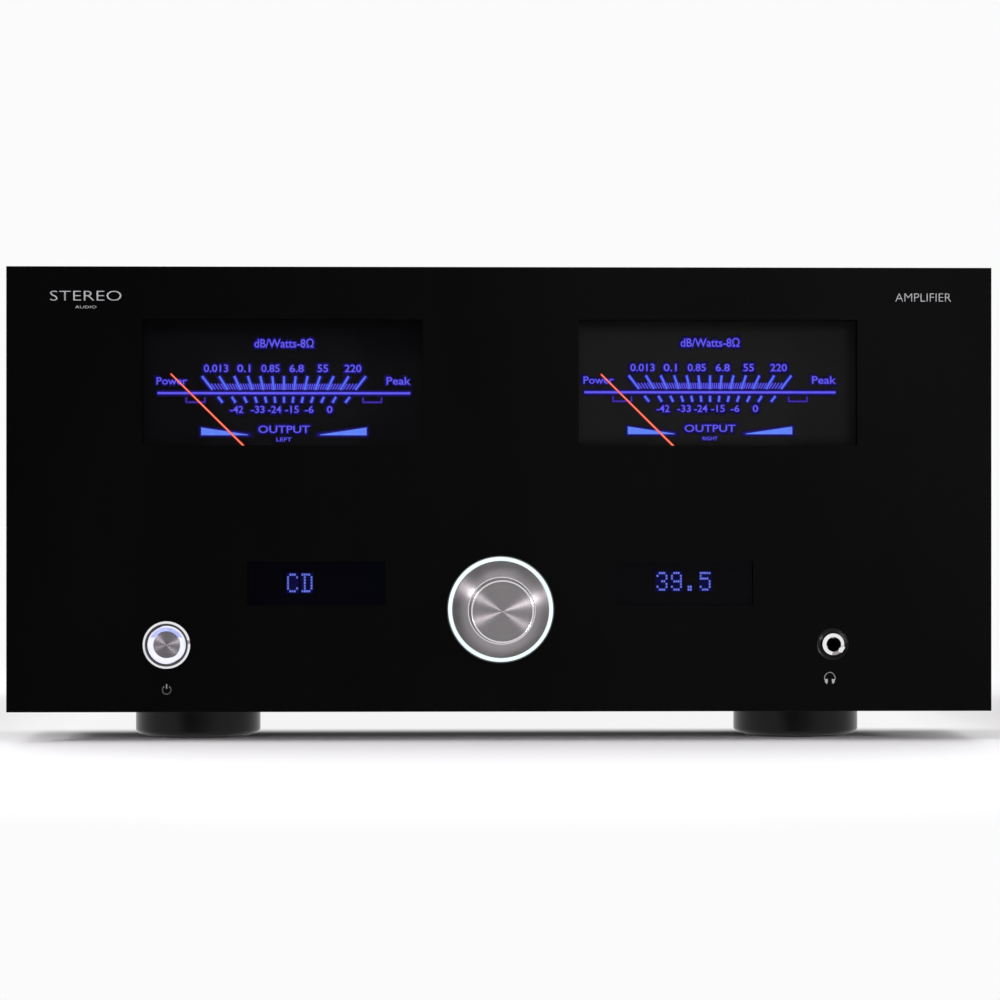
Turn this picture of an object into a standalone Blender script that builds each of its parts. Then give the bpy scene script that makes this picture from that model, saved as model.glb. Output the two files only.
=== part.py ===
"""Integrated stereo amplifier with two needle meters, a central push-and-turn volume knob, a lit
power button and a headphone socket, on four round feet.

Metres, +Z up. The front faces -Y and the origin is on the standing surface, below the middle of the
overall length. Every separate piece is one named object.
"""

import math

import bmesh
import bpy
from mathutils import Matrix, Vector

# ---------------------------------------------------------------- driving sizes
PANEL_WIDTH = 0.430
PANEL_HEIGHT = 0.194
PANEL_LIFT = 0.0135         # lower edge of the front panel above the standing surface
BODY_DEPTH = 0.390          # face of the front panel to the outside of the rear panel
KNOB_REACH = 0.030          # knob face in front of the panel
REAR_REACH = 0.030          # speaker caps behind the rear panel
GAP = 0.0003                # clearance between touching pieces

GLASS_THICKNESS = 0.005
FRAME_THICKNESS = 0.004
COVER_THICKNESS = 0.0012
TRAY_THICKNESS = 0.0015
REAR_THICKNESS = 0.0015
BOARD_THICKNESS = 0.0016

# ---------------------------------------------------------------- planes worked out from them
FACE_Y = -BODY_DEPTH / 2
GLASS_BACK_Y = FACE_Y + GLASS_THICKNESS
FRAME_FRONT_Y = GLASS_BACK_Y + GAP
FRAME_BACK_Y = FRAME_FRONT_Y + FRAME_THICKNESS
MODULE_Y = FRAME_BACK_Y + GAP               # front of whatever is fixed behind the frame
REAR_Y = BODY_DEPTH / 2
REAR_IN_Y = REAR_Y - REAR_THICKNESS
PANEL_TOP = PANEL_LIFT + PANEL_HEIGHT
COVER_TOP = PANEL_TOP - 0.0025
CASE_BOTTOM = PANEL_LIFT + 0.0035
CASE_HALF = PANEL_WIDTH / 2 - 0.0025        # outside of the cover's side walls
INNER_HALF = CASE_HALF - COVER_THICKNESS - GAP
INNER_TOP = COVER_TOP - COVER_THICKNESS - GAP
TRAY_TOP = CASE_BOTTOM + TRAY_THICKNESS

# ---------------------------------------------------------------- controls and windows on the front
KNOB_Z = PANEL_LIFT + 0.0446
SIDE_CONTROL_X = 0.1454
SIDE_CONTROL_Z = PANEL_LIFT + 0.0293
METER_X = 0.095
METER_Z = PANEL_LIFT + 0.1436
METER_WINDOW = (0.122, 0.055)
NEEDLE_PIVOT_DROP = 0.0176                  # pivot below the window's lower edge
NEEDLE_REACH = 0.0710
NEEDLE_REST_TILT = math.radians(-45.3)
DISPLAY_X = 0.0804
DISPLAY_Z = PANEL_LIFT + 0.0560
DISPLAY_WINDOW = (0.060, 0.019)
FRONT_BOARD_Y = MODULE_Y + 0.0056 + GAP

# ---------------------------------------------------------------- connectors on the rear
RCA_PITCH = 0.018
RCA_COLUMNS = 8
RCA_FIRST_X = -0.043
RCA_ROWS_Z = (0.166, 0.184)
DIGITAL_X = (-0.120, -0.095, -0.073)        # coaxial pair, USB, trigger pair
XLR_X = (0.130, 0.166)
XLR_Z = 0.175
INLET_X, INLET_Z = -0.165, 0.075
INLET_SIZE = (0.050, 0.072)
TERMINAL_X = {"left": -0.080, "right": 0.150}
TERMINAL_Z = 0.060
POST_SPACING = 0.024

# ---------------------------------------------------------------- feet and inner pieces
FOOT_RADIUS = 0.028
FOOT_X = 0.135
FOOT_Y = (-0.140, 0.145)
SINK_INNER_X = 0.150
SINK_LENGTH = 0.220
SINK_FINS = 16
TRANSFORMER_Y = -0.088
TRANSFORMER_RADIUS = 0.072
TRANSFORMER_HEIGHT = 0.070

FINISHES = {
    "black_glass": ((0.010, 0.010, 0.011), 0.05, 0.0),
    "black_steel": ((0.020, 0.020, 0.021), 0.45, 0.3),
    "grey_metal": ((0.30, 0.30, 0.31), 0.40, 0.9),
    "brushed_metal": ((0.52, 0.50, 0.51), 0.28, 1.0),
    "bright_metal": ((0.80, 0.80, 0.81), 0.12, 1.0),
    "lit_plastic": ((0.85, 0.95, 1.00), 0.30, 0.0),
    "black_plastic": ((0.022, 0.022, 0.023), 0.50, 0.0),
    "rubber": ((0.015, 0.015, 0.015), 0.80, 0.0),
    "dial_black": ((0.016, 0.016, 0.018), 0.60, 0.0),
    "needle_red": ((0.90, 0.10, 0.05), 0.40, 0.0),
    "display_glass": ((0.012, 0.014, 0.030), 0.15, 0.0),
    "circuit_board": ((0.03, 0.16, 0.07), 0.50, 0.0),
    "bare_aluminium": ((0.62, 0.62, 0.63), 0.40, 1.0),
    "winding": ((0.55, 0.38, 0.10), 0.45, 0.2),
    "red_plastic": ((0.55, 0.02, 0.02), 0.35, 0.0),
    "cable_grey": ((0.45, 0.45, 0.46), 0.60, 0.0),
}


# ---------------------------------------------------------------- making objects
def clear_scene():
    for old in list(bpy.data.objects):
        bpy.data.objects.remove(old, do_unlink=True)


def finish_of(name):
    """The Principled material of a finish, made on first use."""
    if name in bpy.data.materials:
        return bpy.data.materials[name]
    colour, roughness, metallic = FINISHES[name]
    material = bpy.data.materials.new(name)
    material.use_nodes = True
    shader = material.node_tree.nodes["Principled BSDF"]
    shader.inputs["Base Color"].default_value = (*colour, 1.0)
    shader.inputs["Roughness"].default_value = roughness
    shader.inputs["Metallic"].default_value = metallic
    material.diffuse_color = (*colour, 1.0)
    return material


def object_from(name, shape, finish, at=(0, 0, 0), smooth=False):
    """An object named name from a finished bmesh whose points are relative to at."""
    bmesh.ops.recalc_face_normals(shape, faces=shape.faces)
    mesh = bpy.data.meshes.new(name)
    shape.to_mesh(mesh)
    shape.free()
    if smooth:
        mesh.shade_smooth()
        mesh.set_sharp_from_angle(angle=math.radians(35))
    made = bpy.data.objects.new(name, mesh)
    made.location = at
    bpy.context.scene.collection.objects.link(made)
    if finish:
        mesh.materials.append(finish_of(finish))
    return made


def add_box(shape, low, high):
    """Adds the box between two corners to a bmesh."""
    low, high = Vector(low), Vector(high)
    place = Matrix.Translation((low + high) / 2) @ Matrix.Diagonal((*(high - low), 1))
    bmesh.ops.create_cube(shape, size=1, matrix=place)


def add_cylinder(shape, start, end, radius, sides=16):
    """Adds a round bar from one point to another to a bmesh."""
    start, end = Vector(start), Vector(end)
    turn = (end - start).to_track_quat("Z", "Y").to_matrix().to_4x4()
    bmesh.ops.create_cone(
        shape, cap_ends=True, cap_tris=False, segments=sides, radius1=radius, radius2=radius,
        depth=(end - start).length, matrix=Matrix.Translation((start + end) / 2) @ turn)


def box(name, low, high, finish):
    """A plain box object with its origin at its centre."""
    middle = (Vector(low) + Vector(high)) / 2
    shape = bmesh.new()
    add_box(shape, Vector(low) - middle, Vector(high) - middle)
    return object_from(name, shape, finish, middle)


def turned(name, profile, finish, at, axis="Y", sides=32, ring=False):
    """A turned piece about an axis through at. profile lists (radius, distance along the axis), and a
    ring's profile closes on itself while a solid's starts and ends on the axis."""
    shape = bmesh.new()
    place = {
        "X": lambda r, d: (d, r, 0),
        "Y": lambda r, d: (r, d, 0),
        "Z": lambda r, d: (r, 0, d),
    }[axis]
    points = [shape.verts.new(place(r, d)) for r, d in profile]
    pairs = list(zip(points, points[1:] + points[:1] if ring else points[1:]))
    edges = [shape.edges.new(pair) for pair in pairs]
    direction = {"X": (1, 0, 0), "Y": (0, 1, 0), "Z": (0, 0, 1)}[axis]
    bmesh.ops.spin(
        shape, geom=points + edges, cent=(0, 0, 0), axis=direction, angle=2 * math.pi,
        steps=sides, use_duplicate=False)
    bmesh.ops.remove_doubles(shape, verts=shape.verts, dist=1e-6)
    return object_from(name, shape, finish, at, smooth=True)


def rectangle(x, z, width, height):
    """The corners of a rectangle about a centre."""
    return [
        (x + side * width / 2, z + rise * height / 2)
        for side, rise in ((-1, -1), (1, -1), (1, 1), (-1, 1))
    ]


def circle(x, z, radius, sides=24):
    """Points round a circle, with flats squarely up, down, left and right."""
    step = 2 * math.pi / sides
    return [
        (x + radius * math.cos(step * (i + 0.5)), z + radius * math.sin(step * (i + 0.5)))
        for i in range(sides)
    ]


def plate(name, outline, holes, front, back, finish, lying=False):
    """A sheet with holes, from one outline and a list of hole outlines. It stands in the XZ plane
    between two Y values or, lying, in the XY plane between two Z values."""
    curve = bpy.data.curves.new(name, "CURVE")
    curve.dimensions = "2D"
    curve.fill_mode = "BOTH"
    curve.extrude = (back - front) / 2
    for loop in [outline, *holes]:
        spline = curve.splines.new("POLY")
        spline.points.add(len(loop) - 1)
        for point, (x, y) in zip(spline.points, loop):
            point.co = (x, y, 0, 1)
        spline.use_cyclic_u = True
    flat = bpy.data.objects.new(name + "_curve", curve)
    shape = bmesh.new()
    shape.from_mesh(bpy.data.meshes.new_from_object(flat))
    bpy.data.objects.remove(flat)
    bmesh.ops.remove_doubles(shape, verts=shape.verts, dist=1e-6)
    if lying:
        return object_from(name, shape, finish, (0, 0, (front + back) / 2))
    bmesh.ops.rotate(shape, verts=shape.verts, matrix=Matrix.Rotation(math.pi / 2, 3, "X"))
    return object_from(name, shape, finish, (0, (front + back) / 2, 0))


def helper(name, shape):
    """An unseen tool shape for a Boolean, from a bmesh in world coordinates."""
    made = object_from(name, shape, None)
    made.hide_render = True
    made.display_type = "WIRE"
    return made


def boolean(target, other, operation):
    """Joins a tool shape to an object, or cuts it away."""
    modifier = target.modifiers.new(other.name, "BOOLEAN")
    modifier.operation = operation
    modifier.object = other
    other.hide_render = True
    other.display_type = "WIRE"
    return target


def join(target, add, *cases):
    """Unites target with one more solid for each case, where add(shape, case) draws it."""
    for i, case in enumerate(cases):
        shape = bmesh.new()
        add(shape, case)
        boolean(target, helper(f"{target.name}_add{i}", shape), "UNION")
    return target


def cut(target, add, *cases):
    """Cuts from target all the separate solids that add(shape, case) draws, in one go."""
    shape = bmesh.new()
    for case in cases:
        add(shape, case)
    return boolean(target, helper(f"{target.name}_cut", shape), "DIFFERENCE")


def boxes(shape, corners):
    add_box(shape, *corners)


def bars(shape, bar):
    add_cylinder(shape, *bar)


def hexagon_nut(name, finish, at, across, bore, thickness):
    """A nut lying across the Y axis, its front at at."""
    x, y, z = at
    corner = across / 2 / math.cos(math.pi / 6)
    outline = circle(x, z, corner, 6)
    return plate(name, outline, [circle(x, z, bore)], y, y + thickness, finish)


# ---------------------------------------------------------------- front panel
def front_panel():
    """The black glass, and the aluminium frame behind it that carries everything on the front."""
    outline = rectangle(0, PANEL_LIFT + PANEL_HEIGHT / 2, PANEL_WIDTH, PANEL_HEIGHT)
    holes = [
        circle(0, KNOB_Z, 0.02335, 40),
        circle(-SIDE_CONTROL_X, SIDE_CONTROL_Z, 0.0094, 32),
        circle(SIDE_CONTROL_X, SIDE_CONTROL_Z, 0.0072, 24),
    ]
    plate("front_glass", outline, holes, FACE_Y, GLASS_BACK_Y, "black_glass")

    low, high = CASE_BOTTOM + 0.001, INNER_TOP
    outline = rectangle(0, (low + high) / 2, 2 * INNER_HALF, high - low)
    holes = [
        circle(0, KNOB_Z, 0.0048, 16),
        circle(-SIDE_CONTROL_X, SIDE_CONTROL_Z, 0.0094, 24),
        circle(SIDE_CONTROL_X, SIDE_CONTROL_Z, 0.0047, 16),
    ]
    for side in (-1, 1):
        width, height = METER_WINDOW
        holes.append(rectangle(side * METER_X, METER_Z, width + 0.004, height + 0.004))
        width, height = DISPLAY_WINDOW
        holes.append(rectangle(side * DISPLAY_X, DISPLAY_Z, width + 0.002, height + 0.002))
    plate("front_frame", outline, holes, FRAME_FRONT_Y, FRAME_BACK_Y, "grey_metal")


def volume_control():
    """The knob on its shaft, the encoder it turns and presses, and the lit ring round it."""
    axis = (0, 0, KNOB_Z)
    face = FACE_Y - KNOB_REACH
    skirt_back = FACE_Y - 0.0025
    skirt_radius, boss_radius, face_radius = 0.0209, 0.0146, 0.0135
    profile = [
        (0, face),
        (face_radius - 0.0006, face),
        (face_radius, face + 0.0005),
        (boss_radius, FACE_Y - 0.0175),
        (0.0168, FACE_Y - 0.0152),
        (0.0190, FACE_Y - 0.0120),
        (skirt_radius - 0.0004, FACE_Y - 0.0072),
        (skirt_radius, FACE_Y - 0.0066),
        (skirt_radius, skirt_back + 0.0004),
        (skirt_radius - 0.0004, skirt_back),
        (0.0033, skirt_back),
        (0.0033, face + 0.0055),
        (0, face + 0.0055),
    ]
    turned("volume_knob", profile, "brushed_metal", axis, sides=40)

    shaft_front, shaft_back = face + 0.0060, FRONT_BOARD_Y - 0.0020
    profile = [(0, shaft_front), (0.003, shaft_front), (0.003, shaft_back), (0, shaft_back)]
    turned("encoder_shaft", profile, "grey_metal", axis, sides=16)

    front, back = FACE_Y - 0.0007, GLASS_BACK_Y
    inner, outer = 0.0212, 0.02305
    profile = [
        (inner, back), (inner, front + 0.0004), (inner + 0.0004, front),
        (outer - 0.0004, front), (outer, front + 0.0004), (outer, back)]
    turned("knob_light_ring", profile, "lit_plastic", axis, sides=40, ring=True)

    body_back = FRONT_BOARD_Y - GAP
    body = box("encoder_body", (-0.007, MODULE_Y, KNOB_Z - 0.007),
               (0.007, body_back, KNOB_Z + 0.007), "grey_metal")
    join(body, bars, ((0, FRAME_FRONT_Y - 0.0028, KNOB_Z), (0, MODULE_Y + 0.001, KNOB_Z), 0.0045))
    bore_end = MODULE_Y + 0.0012
    cut(body, bars, ((0, FACE_Y - 0.004, KNOB_Z), (0, body_back + 0.001, KNOB_Z), 0.0034))
    cavity = turned("encoder_cavity", [
        (0, bore_end), (0.0054, bore_end), (0.0054, body_back + 0.001), (0, body_back + 0.001)],
        None, axis, sides=24)
    boolean(body, cavity, "DIFFERENCE")

    front, back = bore_end + GAP, body_back - 0.0006
    turned("encoder_rotor", [(0.0033, front), (0.0051, front), (0.0051, back), (0.0033, back)],
           "black_plastic", axis, sides=24, ring=True)
    hexagon_nut("encoder_nut", "bright_metal", (0, FRAME_FRONT_Y - GAP - 0.002, KNOB_Z),
                0.012, 0.0047, 0.002)


def power_control():
    """The lit push button: bezel with its barrel, light ring, moving button, switch and nut."""
    at = (-SIDE_CONTROL_X, 0, SIDE_CONTROL_Z)
    seat = FACE_Y - GAP
    profile = [
        (0.0103, seat), (0.0103, FACE_Y - 0.0019), (0.0099, FACE_Y - 0.0025),
        (0.0095, FACE_Y - 0.0025), (0.0092, FACE_Y - 0.0012), (0.00835, FACE_Y - 0.0012),
        (0.00835, FACE_Y + 0.0250), (0.0090, FACE_Y + 0.0250), (0.0090, seat)]
    turned("power_bezel", profile, "bright_metal", at, ring=True)

    front, back = FACE_Y - 0.0018, FACE_Y + 0.009
    profile = [
        (0.00595, back), (0.00595, front + 0.0003), (0.0063, front),
        (0.0077, front), (0.0081, front + 0.0005), (0.0081, back)]
    turned("power_light_ring", profile, "lit_plastic", at, ring=True)

    front = FACE_Y - 0.0022
    profile = [
        (0, front), (0.0053, front), (0.0057, front + 0.0004), (0.0057, FACE_Y + 0.007),
        (0.0025, FACE_Y + 0.007), (0.0025, FACE_Y + 0.0115), (0, FACE_Y + 0.0115)]
    turned("power_button", profile, "brushed_metal", at, sides=24)

    front, back = FACE_Y + 0.0140, FACE_Y + 0.0350
    profile = [(0, front), (0.0080, front), (0.0080, back), (0, back)]
    switch = turned("power_switch", profile, "black_plastic", at, sides=16)
    x, _, z = at
    join(switch, boxes, *[
        ((x + dx - 0.0012, back - 0.001, z + dz - 0.0003), (x + dx + 0.0012, back + 0.006, z + dz + 0.0003))
        for dx, dz in ((-0.004, 0), (0.004, 0), (0, -0.004), (0, 0.004))])
    hexagon_nut("power_nut", "bright_metal", (x, MODULE_Y, z), 0.023, 0.0094, 0.003)


def headphone_socket():
    """The 6.35 mm jack socket with its bored nose, and the nut that holds it to the frame."""
    x, z = SIDE_CONTROL_X, SIDE_CONTROL_Z
    back = MODULE_Y + 0.030
    jack = box("headphone_jack", (x - 0.008, MODULE_Y, z - 0.009), (x + 0.008, back, z + 0.009),
               "black_plastic")
    join(jack, bars, ((x, FACE_Y - 0.0016, z), (x, MODULE_Y + 0.002, z), 0.0044, 24))
    cut(jack, bars, ((x, FACE_Y - 0.002, z), (x, back - 0.003, z), 0.0032, 24))
    hexagon_nut("headphone_nut", "black_steel", (x, FRAME_FRONT_Y - GAP - 0.0018, z),
                0.012, 0.0047, 0.0018)


def meter(side, name):
    """One needle meter: housing, dial, needle and the moving-coil block that carries its pivot."""
    x = side * METER_X
    window_low = METER_Z - METER_WINDOW[1] / 2
    pivot_z = window_low - NEEDLE_PIVOT_DROP
    wall = 0.0015
    low = (x - 0.066, MODULE_Y, pivot_z - 0.0135)
    high = (x + 0.066, MODULE_Y + 0.025, METER_Z + METER_WINDOW[1] / 2 + 0.006)
    housing = box(f"{name}_meter_housing", low, high, "black_plastic")
    cut(housing, boxes, (
        (low[0] + wall, low[1] - 0.001, low[2] + wall),
        (high[0] - wall, high[1] - wall, high[2] - wall)))

    dial_front = MODULE_Y + 0.0160
    box(f"{name}_meter_dial",
        (x - METER_WINDOW[0] / 2 - 0.002, dial_front, window_low - 0.003),
        (x + METER_WINDOW[0] / 2 + 0.002, dial_front + 0.001, high[2] - wall - 0.001),
        "dial_black")

    needle_y = dial_front - 0.0050
    block_front, block_back = needle_y + 0.0020, high[1] - wall - GAP
    profile = [
        (0, needle_y - 0.0020), (0.0010, needle_y - 0.0020), (0.0010, block_front),
        (0.0095, block_front), (0.0095, block_back), (0, block_back)]
    turned(f"{name}_meter_movement", profile, "grey_metal", (x, 0, pivot_z), sides=24)

    half = 0.0003
    shape = bmesh.new()
    add_cylinder(shape, (0, -0.0011, 0), (0, 0.0011, 0), 0.0035, 24)
    needle = object_from(f"{name}_meter_needle", shape, "needle_red", (x, needle_y, pivot_z))
    needle.rotation_euler.y = NEEDLE_REST_TILT
    pieces = [
        ((-0.0005, -half, 0.0030), (0.0005, half, NEEDLE_REACH)),
        ((-0.0006, -half, -0.0070), (0.0006, half, -0.0030)),
        ((-0.0025, -0.0011, -0.0100), (0.0025, 0.0011, -0.0065)),
    ]
    tilt = Matrix.Translation(needle.location) @ Matrix.Rotation(NEEDLE_REST_TILT, 4, "Y")
    for i, corners in enumerate(pieces):
        shape = bmesh.new()
        add_box(shape, *corners)
        tool = helper(f"{needle.name}_add{i}", shape)
        tool.matrix_world = tilt
        boolean(needle, tool, "UNION")
    cut(needle, bars, ((x, needle_y - 0.002, pivot_z), (x, needle_y + 0.002, pivot_z), 0.0013))


def displays_and_board():
    """The two character displays and the circuit board that carries them and the encoder."""
    for side, name in ((-1, "left"), (1, "right")):
        x = side * DISPLAY_X
        box(f"{name}_display", (x - 0.034, MODULE_Y, DISPLAY_Z - 0.0125),
            (x + 0.034, FRONT_BOARD_Y - GAP, DISPLAY_Z + 0.0125), "display_glass")
    back = FRONT_BOARD_Y + BOARD_THICKNESS
    board = box("front_board", (-0.118, FRONT_BOARD_Y, KNOB_Z - 0.030), (0.118, back, KNOB_Z + 0.029),
                "circuit_board")
    chips = [(-0.060, 0.0, 0.016), (0.030, -0.008, 0.010), (0.100, 0.014, 0.012), (-0.020, 0.014, 0.007)]
    join(board, boxes, *[
        ((x - size / 2, back - 0.0005, KNOB_Z + rise - size / 2),
         (x + size / 2, back + 0.0025, KNOB_Z + rise + size / 2))
        for x, rise, size in chips])


# ---------------------------------------------------------------- case
def slots_along(count, pitch, middle):
    """Evenly spaced centres about a middle."""
    return [middle + (i - (count - 1) / 2) * pitch for i in range(count)]


def case():
    """Folded tray, folded U-shaped cover with its vents, and the punched rear panel."""
    front, back = FRAME_BACK_Y + 0.0005, REAR_IN_Y - GAP
    lip = 0.010
    tray = box("bottom_chassis", (-INNER_HALF, front, CASE_BOTTOM),
               (INNER_HALF, back, TRAY_TOP + lip), "black_steel")
    far = 0.002
    cut(tray, boxes, (
        (-INNER_HALF + TRAY_THICKNESS, front + TRAY_THICKNESS, TRAY_TOP),
        (INNER_HALF - TRAY_THICKNESS, back + far, TRAY_TOP + lip + far)))
    cut(tray, boxes, *[
        ((side * 0.178 - 0.020, y - 0.0018, CASE_BOTTOM - far),
         (side * 0.178 + 0.020, y + 0.0018, TRAY_TOP + far))
        for side in (-1, 1) for y in slots_along(8, 0.016, 0.010)])

    edge_front, edge_back = GLASS_BACK_Y + 0.0005, REAR_Y
    outer = [(-CASE_HALF, CASE_BOTTOM), (-CASE_HALF, COVER_TOP), (CASE_HALF, COVER_TOP),
             (CASE_HALF, CASE_BOTTOM)]
    inside = [(x - math.copysign(COVER_THICKNESS, x), z - (COVER_THICKNESS if z == COVER_TOP else 0))
              for x, z in reversed(outer)]
    cover = plate("top_cover", outer + inside, [], edge_front, edge_back, "black_steel")
    over = [
        ((x - length / 2, y - 0.0018, COVER_TOP - 0.005), (x + length / 2, y + 0.0018, COVER_TOP + 0.005))
        for x, length, count in ((-0.176, 0.052, 16), (0.176, 0.052, 16), (0, 0.100, 8))
        for y in slots_along(count, 0.012, 0.0 if length < 0.1 else 0.080)]
    beside = [
        ((side * CASE_HALF - 0.005, y - 0.0018, 0.040), (side * CASE_HALF + 0.005, y + 0.0018, 0.075))
        for side in (-1, 1) for y in slots_along(12, 0.014, 0.0)]
    cut(cover, boxes, *over, *beside)

    low, high = TRAY_TOP + 0.0005, INNER_TOP
    holes = [circle(x, z, 0.0055, 12) for x, z in rca_places()]
    holes += [circle(DIGITAL_X[0], z, 0.0055, 12) for z in RCA_ROWS_Z]
    holes += [circle(DIGITAL_X[2], z, 0.0045, 12) for z in RCA_ROWS_Z]
    holes += [rectangle(DIGITAL_X[1], sum(RCA_ROWS_Z) / 2, 0.0135, 0.0125)]
    holes += [circle(x, XLR_Z, 0.0120, 16) for x in XLR_X]
    holes += [rectangle(INLET_X, INLET_Z, INLET_SIZE[0] - 0.005, INLET_SIZE[1] - 0.005)]
    holes += [rectangle(x, TERMINAL_Z, 0.048, 0.022) for x in TERMINAL_X.values()]
    holes += [rectangle(x, 0.125, 0.0036, 0.034) for x in slots_along(10, 0.011, 0.020)]
    plate("rear_panel", rectangle(0, (low + high) / 2, 2 * INNER_HALF, high - low), holes,
          REAR_IN_Y, REAR_Y, "black_steel")


def feet():
    """Four turned feet, each with a rubber pad let into its underside."""
    top = CASE_BOTTOM - GAP
    for name_y, y in zip(("front", "rear"), FOOT_Y):
        for name_x, x in (("left", -FOOT_X), ("right", FOOT_X)):
            profile = [
                (0, top), (FOOT_RADIUS - 0.001, top), (FOOT_RADIUS, top - 0.001),
                (FOOT_RADIUS, 0.0026), (FOOT_RADIUS - 0.0016, 0.0010), (0.0240, 0.0010),
                (0.0240, 0.0030), (0, 0.0030)]
            turned(f"foot_{name_y}_{name_x}", profile, "black_plastic", (x, y, 0), axis="Z")
            profile = [(0, 0.0027), (0.0236, 0.0027), (0.0236, 0.0004), (0.0232, 0), (0, 0)]
            turned(f"foot_pad_{name_y}_{name_x}", profile, "rubber", (x, y, 0), axis="Z", sides=24)


# ---------------------------------------------------------------- inside
def transformer():
    """The ring-wound mains transformer and the dished plate and bolt that clamp it to the tray."""
    low, high = TRAY_TOP + GAP, TRAY_TOP + GAP + TRANSFORMER_HEIGHT
    inner, outer, soft = 0.020, TRANSFORMER_RADIUS, 0.012
    profile = []
    corners = ((outer - soft, low + soft, -90), (outer - soft, high - soft, 0),
               (inner + soft / 2, high - soft / 2, 90), (inner + soft / 2, low + soft / 2, 180))
    for number, (r, z, start) in enumerate(corners):
        bend = soft if number < 2 else soft / 2
        for share in (0, 0.5, 1):
            angle = math.radians(start + 90 * share)
            profile.append((r + bend * math.cos(angle), z + bend * math.sin(angle)))
    turned("transformer", profile, "winding", (0, TRANSFORMER_Y, 0), axis="Z", ring=True)

    seat = high + GAP
    profile = [
        (0, seat + 0.0070), (0.0065, seat + 0.0070), (0.0065, seat + 0.0030), (0.0150, seat + 0.0030),
        (0.0420, seat + 0.0018), (0.0420, seat), (0.0040, seat), (0.0040, low), (0, low)]
    turned("transformer_clamp", profile, "bare_aluminium", (0, TRANSFORMER_Y, 0), axis="Z", sides=24)


def heatsink_side(side, name):
    """A finned heatsink and the amplifier board on it, with the output transistors in between."""
    low, high = TRAY_TOP + 0.004, 0.182
    base, reach = 0.010, INNER_HALF - 0.004 - SINK_INNER_X
    pitch = SINK_LENGTH / SINK_FINS
    outline = [(SINK_INNER_X, -SINK_LENGTH / 2)]
    for i in range(SINK_FINS):
        start = -SINK_LENGTH / 2 + i * pitch
        outline += [(SINK_INNER_X + reach, start), (SINK_INNER_X + reach, start + 0.003)]
        if i < SINK_FINS - 1:
            outline += [(SINK_INNER_X + base, start + 0.003), (SINK_INNER_X + base, start + pitch)]
    outline.append((SINK_INNER_X, outline[-1][1]))
    plate(f"{name}_heatsink", [(side * x, y) for x, y in outline], [], low, high, "black_steel",
          lying=True)

    def across(x_near, x_far, y, z, width, height):
        """Corners of a box between two distances from the middle of the amplifier."""
        xs = sorted((side * x_near, side * x_far))
        return ((xs[0], y - width / 2, z - height / 2), (xs[1], y + width / 2, z + height / 2))

    face = SINK_INNER_X - 0.0060
    board = box(f"{name}_amp_board", *across(face, face - BOARD_THICKNESS, 0, 0.105, 0.205, 0.130),
                "circuit_board")
    transistors = [across(face - 0.0005, SINK_INNER_X - GAP, y, 0.080, 0.020, 0.026)
                   for y in slots_along(6, 0.032, 0)]
    parts = [across(face - BOARD_THICKNESS + 0.0005, face - depth, y, z, width, height)
             for y, z, width, height, depth in (
                 (-0.070, 0.150, 0.028, 0.020, 0.018), (-0.025, 0.145, 0.016, 0.016, 0.020),
                 (0.010, 0.145, 0.016, 0.016, 0.020), (0.060, 0.140, 0.034, 0.014, 0.012),
                 (0.000, 0.062, 0.150, 0.006, 0.008))]
    join(board, boxes, *transistors, *parts)


def boards():
    """The power supply board with its reservoir capacitors, and the input board behind the sockets."""
    low = TRAY_TOP + 0.008
    top = low + BOARD_THICKNESS
    supply = box("power_supply_board", (-0.085, 0.005, low), (0.085, 0.150, top), "circuit_board")
    cans = [((x, y, top - 0.0005), (x, y, top + 0.050), 0.0175, 20)
            for x in (-0.050, -0.008, 0.034) for y in (0.035, 0.080)]
    join(supply, bars, *cans)
    blocks = [((-0.085, 0.117, top - 0.0005), (-0.073, 0.133, top + 0.014)),
              ((0.058, 0.020, top - 0.0005), (0.082, 0.060, top + 0.022)),
              ((0.058, 0.080, top - 0.0005), (0.070, 0.120, top + 0.030)),
              ((-0.040, 0.112, top - 0.0005), (0.030, 0.128, top + 0.018))]
    blocks += [((x - 0.003, y - 0.003, TRAY_TOP + GAP), (x + 0.003, y + 0.003, low + 0.0005))
               for x in (-0.080, 0.080) for y in (0.010, 0.145)]
    for i, corners in enumerate(blocks):
        shape = bmesh.new()
        add_box(shape, *corners)
        boolean(supply, helper(f"power_supply_board_block{i}", shape), "UNION")

    back = REAR_IN_Y - 0.0118
    board = box("input_board", (-0.134, back - BOARD_THICKNESS, 0.066), (0.112, back, 0.199),
                "circuit_board")
    front = back - BOARD_THICKNESS + 0.0005
    join(board, boxes, *[
        ((x - w / 2, front - depth, z - h / 2), (x + w / 2, front, z + h / 2))
        for x, z, w, h, depth in (
            (-0.110, 0.130, 0.020, 0.020, 0.004), (-0.070, 0.160, 0.014, 0.028, 0.010),
            (0.000, 0.175, 0.110, 0.010, 0.012), (0.030, 0.140, 0.024, 0.012, 0.004),
            (0.085, 0.150, 0.012, 0.012, 0.014), (-0.020, 0.110, 0.018, 0.018, 0.004))])


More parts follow.
